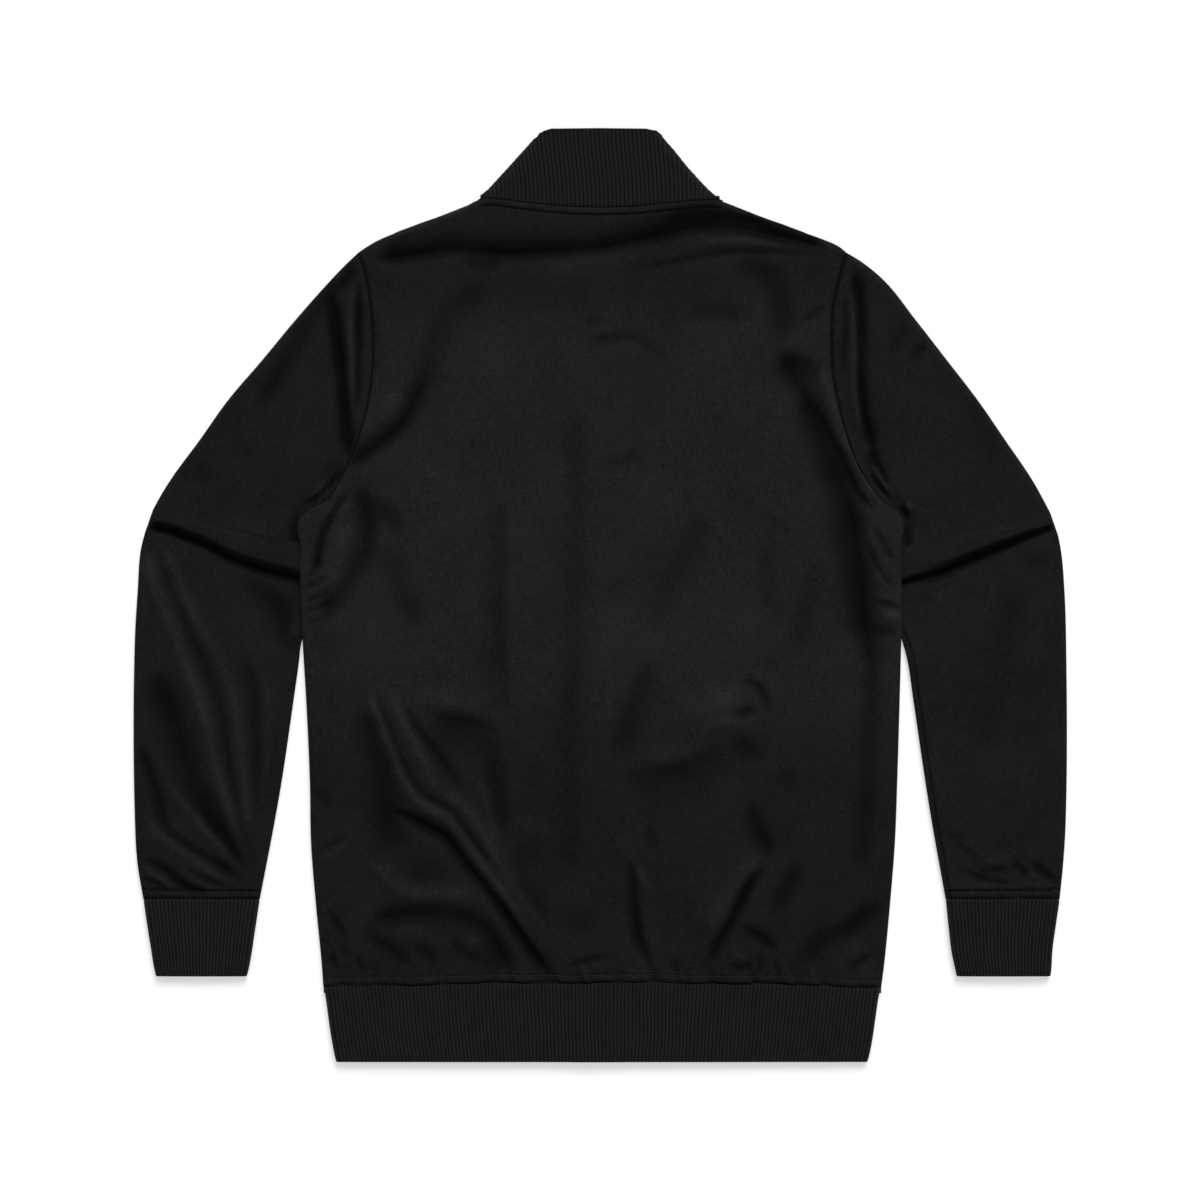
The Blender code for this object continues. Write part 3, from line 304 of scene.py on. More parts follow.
def panelEdge(side, step):
    # rows down one edge of a body panel: the armhole, then the folded side
    hole = walkLine(armholeLine(side), edgeSteps(jacket["armLength"], step, both=False))
    down = jacket["underarm"] - edgeSteps(jacket["sideLength"], step)[1:] * jacket["sideLength"]
    return np.concatenate([hole, np.stack([sideX(down, side), down], axis=-1)])


def foldedShare(edge):
    # of each row of a body panel: 0 at the armhole, 1 on the folded side
    return smooth((jacket["underarm"] - edge[:, 1:]) / 5)


print("frame and outlines ready")

# back panel
backPanel = {
    "step": 2.05,
    "width": 470.0,
    "foldGain": 0.9,
    "paintedShadeGain": 0.62,           # how much a fold's depth darkens the cloth, as painted shade
    "lowest": 2.6,
    "uneven": [(90, 0.30, 11), (38, 0.22, 12), (15, 0.07, 13)],     # size, height, seed
    "seamDip": 1.3,
    "dipWidth": 1.6,
    "hemDipWidth": 1.8,
    "edgeRamp": 34.0,           # from an edge to the full height
    "sidePuckers": (0.35, 13.0, 31, 8.0),       # height, spacing, seed, reach
    "neckPuckers": (0.3, 9.0, 41, 7.0),
    "hemPuckers": (1.5, 9.5, 21, 18.0),
    "puckerSlant": 0.35,
    "seamShade": 2.2,           # how much painted shade darkens the cloth in a seam
    # painted shade along the hem's seam, over shadeSpan
    "hemShade": 1.5,
    "shadeSpan": 1.3,
}
backPanel["folds"] = [
    ("yokeTrough", -4.6, 12, 6.5, [-190, 281, -172, 283, -150, 286, -125, 290, -100, 288, -75, 286, -50, 287,
        -25, 289, 0, 291, 25, 296, 50, 301, 75, 307, 100, 308, 125, 306, 150, 301, 178, 295, 192, 290]),
    ("yokeRight", -2.8, 9, 8, [48, 309, 75, 316, 105, 317, 145, 310]),
    ("yokeLobe", -2.0, 10, 8, [-122, 283, -101, 279, -78, 282]),
    ("yokeRightRidge", 1.2, 4, 4, [75, 293, 120, 297, 160, 291]),
    ("yokeRightLine", -1.3, 3.5, 3.5, [30, 273, 70, 281, 110, 288, 150, 288, 192, 285]),
    ("underYokeRidge", 0.9, 11, 12, [-60, 268, -20, 271, 34, 281]),
    ("leftBladeSoft", -1.5, 12, 11, [-90, 256, -117, 245, -130, 234, -137, 218, -143, 200, -148, 180,
        -154, 163]),
    ("leftBladeTrough", -4.0, 7, 10, [-148, 182, -156, 161, -167, 143, -182, 129, -197, 119, -215, 104]),
    ("leftBladeRidge", 1.2, 8, 9, [-166, 172, -174, 160, -188, 147]),
    ("leftYokeSoft", -0.9, 5, 5, [-192, 240, -188, 210, -189, 178]),
    ("rightBladeSoft", -1.8, 11, 10, [108, 283, 124, 276, 141, 264, 150, 247, 153, 228, 151, 206]),
    ("rightBladeTrough", -2.9, 11, 9, [150, 210, 157, 190, 169, 172, 178, 155, 186, 140, 191, 125, 197, 108,
        204, 90, 210, 70, 215, 50, 219, 25, 221, 0, 223, -25, 226, -50, 232, -72]),
    ("rightBladeCorner", -2.2, 8, 10, [150, 204, 163, 196, 176, 189, 190, 186]),
    ("rightBladeLine", -3.0, 3.5, 4.5, [180, 157, 191, 137, 202, 117, 208, 104, 215, 89, 225, 76, 232, 68]),
    ("rightBladeRidge", 1.7, 4, 4.5, [186, 198, 190, 176, 196, 156, 206, 131, 217, 108, 230, 87, 243, 68]),
    ("rightShoulderLine", -1.5, 4, 4, [166, 227, 180, 236, 193, 245]),
    ("rightBackSoft", -1.0, 8, 8, [62, 231, 95, 237, 128, 229]),
    ("archLine", -1.2, 5, 5, [-14, 211, 8, 215, 28, 216, 40, 208, 56, 199]),
    ("archLineAbove", -0.8, 4, 4, [-17, 228, 10, 230]),
    ("middleShort", -1.0, 6, 6, [2, 107, 20, 112, 36, 123]),
    ("rightSideShort", -0.9, 9, 9, [139, 44, 140, 12, 144, -12, 148, -28]),
    ("rightSideSoft", -0.9, 9, 9, [184, 28, 176, 2, 169, -28, 159, -52]),
    ("longDiagonal", -0.8, 12, 12, [97, 72, 77, 46, 62, 15, 50, -8, 42, -32]),
    ("slantedTrough", -1.6, 12, 9, [46, -54, 35, -75, 27, -95, 20, -115, 12, -139]),
    ("rightEdgeLineA", -1.3, 3, 3, [226, 64, 238, 43, 249, 22]),
    ("rightEdgeLineB", -1.1, 3, 3, [221, 50, 234, 22, 250, 0]),
    ("rightEdgeWrinkle", -1.9, 3, 3.5, [228, -6, 242, -8, 256, -11]),
    ("rightEdgeRidge", 1.4, 4, 4, [234, -17, 254, -19]),
    ("rightEdgeLow", -1.5, 5, 5, [226, -28, 252, -33]),
    ("leftUnderarmShort", -2.8, 3.5, 4, [-209, 90, -221, 72, -230, 56, -235, 40, -238, 24, -246, 11]),
    ("leftUnderarmLong", -2.6, 9, 9, [-202, 96, -196, 64, -196, 42, -203, 25, -213, 9, -223, -6, -236, -24]),
    ("leftUnderarmRidge", 1.4, 7, 7, [-210, 68, -215, 48, -222, 30]),
    ("leftUnderarmSpot", -1.4, 8, 9, [-192, 84, -178, 67, -163, 50]),
    ("leftEdgeWrinkleA", -1.1, 3, 3, [-252, 4, -240, 9, -228, 17]),
    ("leftEdgeWrinkleB", -1.2, 3, 3, [-250, -6, -236, -1, -222, 6]),
    ("leftEdgeWrinkleC", -1.0, 3, 3, [-249, -15, -235, -10, -224, -3]),
    ("leftEdgeWrinkleD", -0.9, 3, 3, [-247, -26, -233, -19]),
    ("leftFlankSoft", -1.0, 10, 11, [-187, 42, -172, 17, -160, -8, -149, -32]),
    ("zipTrough", -0.75, 10, 10, [-20, 158, -20, 97, -22, -4, -24, -62, -26, -122, -25, -238]),
    ("secondTrough", -1.2, 7, 12, [-83, 80, -84, 40, -85, 0, -85, -30, -83, -60, -79, -100]),
    ("secondLow", -1.8, 8, 12, [-91, -114, -90, -140, -86, -165, -79, -202]),
    ("stepTrough", -1.9, 5, 24, [-148, -103, -118, -106, -96, -111, -80, -116]),
    ("stepRidge", 1.7, 14, 5, [-160, -88, -122, -92, -92, -100]),
    ("innerSoft", -1.7, 5, 6, [-172, -84, -162, -102, -149, -118, -138, -132, -125, -150, -112, -168]),
    ("innerRidge", 1.3, 5, 5, [-101, -148, -95, -176, -90, -200, -78, -226]),
    ("hipSide", -2.4, 14, 13, [-199, -94, -191, -120, -185, -145, -181, -170, -178, -195, -168, -222]),
    ("hipTrough", -5.0, 5, 6, [-176, -180, -166, -184, -155, -189, -143, -196, -130, -203, -122, -212,
        -112, -226, -100, -240, -88, -255, -75, -273, -65, -288, -55, -302, -45, -315, -38, -323]),
    ("hipRidge", 2.2, 5, 5, [-197, -78, -186, -104, -174, -134, -163, -161, -148, -178, -128, -189,
        -112, -211, -92, -237, -72, -264, -57, -292]),
    ("hipCrease", -1.3, 3, 3, [-190, -80, -178, -110, -165, -141, -150, -166, -125, -182, -108, -204,
        -85, -234]),
    ("hipOuterRidge", 1.9, 6, 5, [-178, -78, -163, -111, -150, -139, -138, -162, -115, -179, -100, -199,
        -85, -227, -68, -253, -48, -284]),
    ("pocketSoft", -1.0, 14, 14, [-166, -228, -143, -236, -122, -232]),
    ("pocketRidge", 1.8, 8, 7, [-197, -221, -186, -231, -170, -245, -150, -252, -123, -251, -104, -260]),
    ("pocketTrough", -3.0, 8, 12, [-196, -274, -176, -269, -150, -267, -125, -268, -107, -273, -95, -281,
        -87, -293, -80, -306, -68, -318]),
    ("pocketSmallTrough", -2.4, 6, 7, [-195, -272, -191, -287, -177, -296, -166, -305, -157, -315]),
    ("pocketOval", 1.3, 6, 6, [-180, -283, -160, -282, -141, -289]),
    ("pocketLineA", -1.5, 6, 6, [-162, -294, -148, -300, -133, -310]),
    ("pocketLineB", -1.9, 6, 6, [-124, -283, -118, -298, -105, -305, -90, -311]),
    ("pocketOvalRight", 1.2, 5, 6, [-114, -288, -99, -293]),
    ("leftHemRidge", 1.0, 4, 4, [-236, -226, -222, -215, -210, -207]),
    ("leftHemLine", -1.1, 3.5, 3.5, [-237, -217, -222, -208, -209, -201]),
    ("leftEdgeSpot", -1.3, 6, 5, [-243, -158, -234, -170, -224, -180]),
    ("hemLeftWrinkleA", -1.6, 4, 4, [-229, -262, -221, -277, -211, -293]),
    ("hemLeftWrinkleB", -1.3, 3, 3.5, [-218, -292, -208, -308]),
    ("hemLeftWrinkleC", -1.3, 3, 3.5, [-206, -300, -196, -319]),
    ("hemLeftWrinkleD", -1.1, 3, 3.5, [-228, -299, -221, -317]),
    ("middleSoftA", -0.8, 12, 12, [-78, -222, -60, -219, -42, -219]),
    ("middleSoftB", -1.0, 11, 11, [-74, -236, -60, -256, -42, -279]),
    ("middleSoftC", -0.9, 12, 12, [-38, -282, -18, -275, 4, -278]),
    ("middlePale", 0.9, 8, 8, [-70, -194, -38, -198]),
    ("middleThinLine", -1.3, 3, 3, [-30, -312, -8, -306, 12, -302]),
    ("rightFacet", 1.5, 13, 11, [58, -98, 95, -92, 126, -82]),
    ("rightFacetLow", 1.1, 4, 5, [80, -113, 101, -107, 121, -105]),
    ("facetEdgeA", -2.0, 4, 4, [116, -72, 132, -76, 139, -88, 140, -100]),
    ("facetEdgeB", -1.8, 4, 5, [108, -103, 122, -98, 134, -96]),
    ("facetShade", -1.4, 9, 12, [104, -117, 124, -129, 141, -139]),
    ("facetShadeSide", -1.0, 9, 9, [150, -168, 158, -156, 168, -146]),
    ("middleShade", -1.3, 6, 18, [14, -152, 45, -151, 76, -144, 104, -124]),
    ("middleFacet", 1.3, 12, 5, [26, -138, 52, -137, 84, -128]),
    ("rightHipUpper", -2.8, 8, 10, [124, -172, 131, -192, 138, -207, 148, -224]),
    ("rightHipTrough", -3.8, 5, 5, [141, -227, 127, -240, 117, -260, 107, -280, 97, -297, 88, -315]),
    ("rightHipFacet", 2.0, 8, 11, [136, -216, 117, -238, 102, -262, 88, -288]),
    ("rightHipSide", -2.2, 9, 8, [168, -220, 158, -244, 150, -258, 142, -272]),
    ("rightHipShort", -2.4, 6, 6, [116, -280, 130, -285, 140, -292, 152, -300]),
    ("rightHipOval", 1.4, 5, 5, [109, -300, 126, -306]),
    ("rightHipLow", -1.9, 3.5, 3.5, [106, -309, 118, -314, 130, -309]),
    ("rightLowTrough", -2.5, 8, 10, [242, -261, 222, -270, 208, -281, 195, -288, 185, -293, 175, -303,
        163, -314]),
    ("rightLowRidge", 1.1, 5, 5, [224, -259, 206, -266, 189, -278]),
    ("rightLowOval", 1.2, 5, 6, [224, -293, 204, -306]),
    ("rightLowLine", -1.1, 3, 3, [228, -300, 206, -317]),
    ("middleLowTrough", -2.8, 4.5, 6, [24, -220, 28, -243, 29, -258, 31, -275, 34, -291, 44, -312]),
    ("middleLowRidge", 1.9, 4, 4, [30, -226, 36, -240, 43, -253]),
    ("middleLowPale", 1.0, 7, 7, [9, -213, 30, -205]),
    ("middleLowShade", -1.2, 5, 5, [41, -192, 45, -218]),
    ("rightFlankSoft", -1.6, 9, 9, [228, -55, 228, -85, 226, -110, 224, -150, 222, -190, 219, -238]),
    ("hemRightWrinkleA", -1.0, 3, 3, [136, -300, 133, -320]),
    ("hemRightWrinkleB", -0.8, 3, 3, [150, -305, 149, -321]),
    ("hemMiddleWrinkleA", -0.8, 3, 3, [62, -303, 66, -320]),
    ("hemMiddleWrinkleB", -0.7, 3, 3, [4, -312, 8, -322]),
    ("rightBladeBroad", -2.0, 10, 12, [170, 174, 178, 148, 186, 120, 195, 92, 203, 60, 209, 30, 213, 0,
        217, -42]),
]


def softFloor(z, lowest, reach=1.8):
    # heights near the lowest level settle on it
    settled = lowest + reach * np.exp((np.minimum(z, lowest + reach) - lowest) / reach - 1)
    return np.where(z < lowest + reach, settled, z)


def backFace(x, y):
    # height of the back's face, away from its seams and folded edges
    made = backPanel
    edge = np.minimum(np.minimum(abs(x - sideX(y, -1)), abs(x - sideX(y, 1))), 40.0)
    seam = mix(jacket["seamHeight"] - 0.8, jacket["seamHeight"], smooth((y - 70) / 20))
    fromHem = y - jacket["hemSeam"]
    crown = mix(seam, jacket["backHeight"],
                smooth(edge / made["edgeRamp"]) * smooth(fromHem / made["edgeRamp"] + 0.1))
    collarRise = 1.6 * smooth((y - 215) / 60) * (1 - smooth((abs(x) - 80) / 60))
    zipRise = 0.45 * zipLift(x) * (1 - smooth(fromHem / 60))
    z = crown + collarRise + zipRise + 0.75 * tuckLift(x, y)
    z = z + foldField(made["folds"], x, y, made["foldGain"])
    return softFloor(addUneven(z, made["uneven"], x, y), made["lowest"])


def puckers(along, away, height, spacing, seed, reach, shift=0):
    # small gathers beside a seam: along it, and away from it
    rows = unevenField(along, np.zeros_like(along), spacing, seed + shift)
    fine = unevenField(along, np.full_like(along, 55.0), spacing * 0.45, seed + shift + 1)
    return height * (0.7 * rows + 0.4 * fine) * np.exp(-np.asarray(away) / reach) * smooth(away / 1.5)


def stitchGroove(away, at):
    beside = near(away - at - 2.2, 1.3) + near(away - at + 2.2, 1.3)
    return 0.18 * beside - 0.45 * near(away - at, 0.9)


def withAllowance(points, tone, drop=0.5, width=5.0):
    # a seam allowance under the rib knit, past the last row
    extra = [points[-1] - [0, share * width, share * drop] for share in (0.3, 1.0)]
    return np.concatenate([points, np.array(extra)]), np.concatenate([tone, tone[-1:], tone[-1:]])


def backPaintedShade(y):
    # painted shade: the cloth is a little darker towards the hem and the yoke
    return -0.65 * smooth((-40 - y) / 150) - 0.6 * smooth((y - 215) / 60)


def boxBlur(field, count):
    # mean over a square of cells
    for axis in (0, 1):
        ahead, behind = count // 2, count - 1 - count // 2
        wide = np.pad(field, [(ahead, behind) if k == axis else (0, 0) for k in (0, 1)], mode="edge")
        first = np.zeros_like(np.take(wide, [0], axis=axis))
        sums = np.concatenate([first, np.cumsum(wide, axis=axis)], axis=axis)
        high = np.take(sums, range(count, sums.shape[axis]), axis=axis)
        low = np.take(sums, range(sums.shape[axis] - count), axis=axis)
        field = (high - low) / count
    return field


def paintedCreaseShading(z, crease, close=0.5, darkest=-3.0, palest=1.1):
    # painted shade: below zero in hollows and creases; painted highlight: above zero on ridges
    tone = crease + close * (z - boxBlur(boxBlur(z, 5), 3))
    return np.clip(np.where(tone > 0, 0.5 * tone, tone), darkest, palest)


def makeBack():
    made = backPanel
    left, right = panelEdge(-1, made["step"]), panelEdge(1, made["step"])
    done = distances(left)
    v = (done / done[-1])[:, None]
    u = edgeSteps(made["width"], made["step"])[None, :]
    x = mix(left[:, :1], right[:, :1], u)
    topX = mix(left[0, 0], right[0, 0], u)
    topRise = neckY(topX) - mix(left[0, 1], right[0, 1], u)
    y = (mix(left[:, 1:], right[:, 1:], u) + topRise * (1 - v) ** 1.5
         + (hemY(x) - jacket["hemSeam"]) * v ** 3)
    z = backFace(x, y)
    fromSide = np.minimum(u, 1 - u) * (right[:, :1] - left[:, :1])
    fromTop, fromHem = v * done[-1] + 0 * u, (1 - v) * done[-1] + 0 * u
    folded = foldedShare(left)
    sideZ = mix(edgeMiddle(x, y), z, roll(fromSide))
    armZ = z - made["seamDip"] * near(fromSide, made["dipWidth"]) + puckers(y, fromSide, *made["sidePuckers"])
    z = mix(armZ, sideZ, folded)
    inNeck = smooth((jacket["neckHalf"] - abs(topX)) / 3 + 0.5)
    neckZ = z - 0.5 * near(fromTop, 1.2) + stitchGroove(fromTop, jacket["neckStitch"])
    neckZ = neckZ + puckers(x, fromTop, *made["neckPuckers"])
    z = mix(mix(jacket["edgeHeight"], z, roll(fromTop)), neckZ, inNeck)
    z = z - made["seamDip"] * near(fromHem, made["hemDipWidth"]) + stitchGroove(fromHem, jacket["hemStitch"])
    z = z + puckers(x + made["puckerSlant"] * fromHem, fromHem, *made["hemPuckers"])
    # painted shade in the creases, the armhole seam, beside the neck's stitch row and along the hem's seam;
    # painted highlight on ridges
    crease = foldField(made["folds"], x, y, made["paintedShadeGain"])
    seamShade = near(fromSide, 1.0) * (1 - folded) + 0.6 * inNeck * near(fromTop - jacket["neckStitch"], 1.0)
    tone = (paintedCreaseShading(z, crease) + backPaintedShade(y) - made["seamShade"] * seamShade
            - made["hemShade"] * near(fromHem, made["shadeSpan"]))
    points, tone = withAllowance(np.stack([x, y, z], axis=-1), tone)
    return gridPiece("backPanel", points, paintedShading=tone)


# sleeves
sleevePanel = {
    "step": 2.2,
    "bottomStep": 7.0,
    "width": 130.0,
    "upperLength": 240.0,       # from the armhole to the pleat
    "lowerLength": 265.0,       # from the pleat to the cuff
    "upperRows": 108,
    "closeRows": [0, 0.35, 0.8, 1.4, 2.1, 2.9, 3.7, 4.5, 5.3, 6.1, 7.0, 8.0],    # beside the armhole
    "closeShares": [0, 0.7, 2.5, 6.0],      # round the sleeve, beside its two edges
    "seamInset": 4.4,           # from the inner edge to the underarm seam that shows on the right sleeve
    "seamDepth": 0.7,
    "uneven": [(60, 0.30, 51), (26, 0.20, 52), (12, 0.06, 53)],
    "cuffPuckers": (0.8, 8.5, 61, 13.0),        # height, spacing, seed, reach
    "armPuckers": (0.5, 10.0, 71, 10.0),
    "face": {"armhole": 7.0, "head": 8.0, "pleat": 6.1, "underarm": 5.7, "cuff": 5.6, "hump": 1.5},
    "middles": {"armhole": 3.2, "edge": 3.0, "pleat": 1.7},     # heights at the two side edges
    "lean": (0.33, 0.10),       # how far the sleeve leans outwards, at its outer and its inner edge
    "nose": 1.05,               # bend of the pleat's upper edge
    "heel": 0.45,               # bend of its inner edge
    "leastOverlap": 1.6,
    "pleatDrop": 3.0,           # twice both bends
    "approachRows": 8,
    "mouthShade": 6.0,          # how dark the painted shadow in the pleat's mouth is
    # painted shade over the whole upper side of the sleeve
    "shade": 0.3,
    "pleatShares": [0.0, 0.04, 0.15, 0.22, 0.36, 0.54, 0.72, 0.90, 0.954, 0.98, 1.0],
    "pleatLeft": [(-380, 60), (-374.6, 58), (-360, 54.5), (-351, 51), (-332.6, 43.7), (-309.1, 31.9),
                  (-285.6, 23.5), (-256, 15.6), (-247.9, 13.7), (-243.9, 12.7), (-241, 12)],
    "pleatRight": [(382.5, 58), (377, 56), (365, 52), (356, 48.5), (337.7, 41.2), (314.2, 31.9),
                   (288, 21), (259.5, 12.5), (250.9, 10.6), (246.5, 9.7), (243.5, 9)],
    "overlapShares": [0.0, 0.03, 0.08, 0.22, 0.36, 0.54, 0.72, 0.90, 0.954, 0.98, 1.0],
    "overlaps": [0.0, 0.0, 1.6, 4.0, 8.0, 14.0, 18.0, 20.0, 1.6, 0.0, 0.0],
}
sleevePanel["foldsLeft"] = [
    ("headTrough", -5.2, 6, 6, [-227, 256, -224, 238, -221, 215, -218, 190, -215, 162, -213, 137, -211, 112]),
    ("headWedge", -2.4, 5, 5, [-206, 282, -212, 267, -222, 252]),
    ("headRidge", 2.0, 4, 4, [-208, 258, -210, 235, -209, 205, -207, 170, -206, 140]),
    ("headShadow", -2.8, 3.5, 3.5, [-202, 262, -203, 235, -203, 205, -204, 175, -207, 145]),
    ("underarmDark", -3.0, 3.5, 3.5, [-214, 110, -222, 98, -231, 86, -241, 79, -252, 72]),
    ("underarmPale", 1.4, 3, 3, [-226, 102, -236, 88, -248, 81]),
    ("outerSoft", -1.6, 8, 8, [-213, 269, -237, 240, -254, 212, -272, 182, -290, 152]),
    ("aboveElbowShade", -0.8, 9, 9, [-350, 103, -335, 100, -318, 96]),
    ("aboveElbow", 1.0, 12, 12, [-322, 62, -295, 50, -269, 42]),
    ("edgeShade", -2.4, 4.5, 4.5, [-254, 74, -257, 48, -256, 20, -253, -6, -252, -40]),
    ("underPleatShade", -2.6, 10, 12, [-306, 26, -284, 10, -268, -10, -259, -32, -256, -56]),
    ("longRidge", 2.2, 6, 6, [-384, 42, -373, 2, -356, -38, -343, -74, -333, -101, -322, -150, -312, -181,
        -303, -211, -298, -238]),
    ("betweenRidges", -1.2, 5, 6, [-372, 36, -357, 2, -345, -30, -330, -65, -318, -101, -311, -148,
        -303, -188, -297, -220]),
    ("innerRidge", 1.9, 6, 6, [-369, 44, -351, 0, -338, -26, -319, -56, -308, -88, -303, -122, -299, -160,
        -293, -203]),
    ("innerDark", -1.5, 6, 7, [-298, -52, -291, -80, -289, -115, -287, -150, -290, -192]),
    ("shortRidge", 1.1, 5, 6, [-281, -68, -278, -110, -283, -150, -288, -188]),
    ("outerTrough", -2.7, 11, 13, [-378, -60, -366, -85, -357, -110, -348, -140, -340, -162, -327, -185,
        -313, -205, -303, -222, -296, -238]),
    ("lowTrough", -2.4, 4, 5, [-337, -178, -322, -197, -308, -215, -297, -233]),
    ("lowRidge", 1.9, 5, 5, [-366, -152, -352, -175, -335, -193, -318, -212, -302, -233]),
    ("outerLine", -2.1, 5, 5.5, [-390, -122, -379, -148, -371, -173, -365, -196, -354, -206, -339, -217,
        -318, -229, -298, -243]),
    ("outerPale", 1.3, 5, 5, [-382, -178, -376, -198, -358, -211, -338, -224, -318, -238]),
    ("cuffLine", -3.2, 5, 6, [-387, -221, -370, -228, -356, -239, -343, -247, -326, -249]),
    ("cuffPale", 1.3, 3, 3, [-386, -232, -371, -238, -359, -247]),
    ("cuffLineLow", -1.9, 3.5, 3.5, [-387, -239, -373, -242, -362, -250]),
    ("cuffLineInner", -1.6, 3, 3, [-352, -228, -331, -239, -303, -248]),
]
sleevePanel["foldsRight"] = [
    ("headTrough", -4.0, 6, 4.5, [211, 278, 217, 252, 219, 226, 219, 200, 219, 174, 222, 148, 227, 130,
        230, 114]),
    ("headRidge", 1.8, 4, 4, [211, 252, 213, 216, 213, 180, 217, 150, 222, 130]),
    ("headShadow", -1.6, 3.5, 3.5, [203, 262, 207, 236, 205, 210, 204, 184]),
    ("headSpot", -2.6, 5, 5, [227, 124, 230, 114, 229, 104]),
    ("underarmLineA", -2.8, 3, 3, [231, 116, 237, 102, 243, 88]),
    ("underarmLineB", -2.2, 2.5, 2.5, [225, 106, 234, 92, 244, 79]),
    ("underarmPale", 1.5, 3, 3, [229, 108, 238, 94, 248, 80]),
    ("underarmKnot", -3.6, 3.5, 3.5, [250, 76, 255, 71, 259, 61]),
    ("underarmKnotPale", 1.8, 2.5, 2.5, [256, 78, 263, 69]),
    ("edgeShade", -2.6, 4, 4, [258, 68, 258, 40, 257, 10, 254, -20, 257, -46]),
    ("upperFold", -1.3, 6, 6, [258, 232, 252, 216, 243, 201]),
    ("upperFoldLow", -1.2, 6, 6, [273, 216, 267, 204, 261, 191]),
    ("outerSoft", -0.7, 14, 12, [286, 206, 316, 155, 341, 108]),
    ("underPleatPale", 0.9, 10, 10, [268, -8, 285, -4, 305, 8]),
    ("underPleatLine", -1.1, 4, 4, [262, 7, 275, -3, 285, -8]),
    ("underPleatShade", -1.3, 7, 7, [350, 28, 366, 29, 382, 37]),
    ("softTrough", -0.8, 13, 13, [353, 18, 345, -12, 340, -50, 332, -84, 325, -110, 318, -140]),
    ("sideSoft", -0.5, 14, 14, [367, -50, 362, -90, 357, -135]),
    ("innerWrinkleA", -0.9, 3, 3, [284, -201, 296, -203, 308, -202]),
    ("innerWrinkleB", -0.9, 3.5, 3, [296, -206, 306, -214, 317, -224]),
    ("cuffLineA", -1.8, 3, 3.5, [304, -231, 320, -238, 336, -241, 354, -243]),
    ("cuffLineB", -1.8, 4, 4, [314, -236, 326, -232, 338, -231, 348, -236]),
    ("cuffLineC", -1.5, 4, 5, [342, -224, 353, -230, 361, -240]),
    ("cuffDimple", -2.6, 4, 4, [362, -221, 370, -231, 377, -236, 387, -244]),
    ("cuffPale", 1.2, 4, 4, [318, -226, 334, -224, 350, -220]),
]


def pleatRows(overlap):
    # distance along the sleeve and drop, for each row through the pleat
    made = sleevePanel
    nose, heel, least = made["nose"], made["heel"], made["leastOverlap"]
    over = np.maximum(overlap, least)[None, :]
    t = np.linspace(0, 1, made["approachRows"])[:, None]
    turn = np.radians(np.linspace(-90, 90, 9))[1:, None]
    small = np.radians(np.linspace(-90, 90, 6))[1:, None]
    back = np.linspace(0, 1, 6)[1:, None]
    ahead = (np.linspace(0, 1, 9)[1:, None]) ** 1.3
    runs = [mix(-over - 6, -nose + 0 * over, t),
            -nose + nose * np.cos(turn) + 0 * over,
            mix(-nose + 0 * over, heel - over, back),
            -over + heel - heel * np.cos(small),
            mix(heel - over, 8.0 + 0 * over, ahead)]
    drops = [0 * t, nose + nose * np.sin(turn), 2 * nose + 0 * back,
             2 * nose + heel + heel * np.sin(small), made["pleatDrop"] + 0 * ahead]
    folded, drop = np.concatenate(runs), np.concatenate(drops) + 0 * over
    flat = np.linspace(-12, 8, len(folded))[:, None] + 0 * over
    share = smooth(overlap / least)[None, :]
    return mix(flat, folded, share), mix(made["pleatDrop"] * smooth((flat + 5) / 10), drop, share)


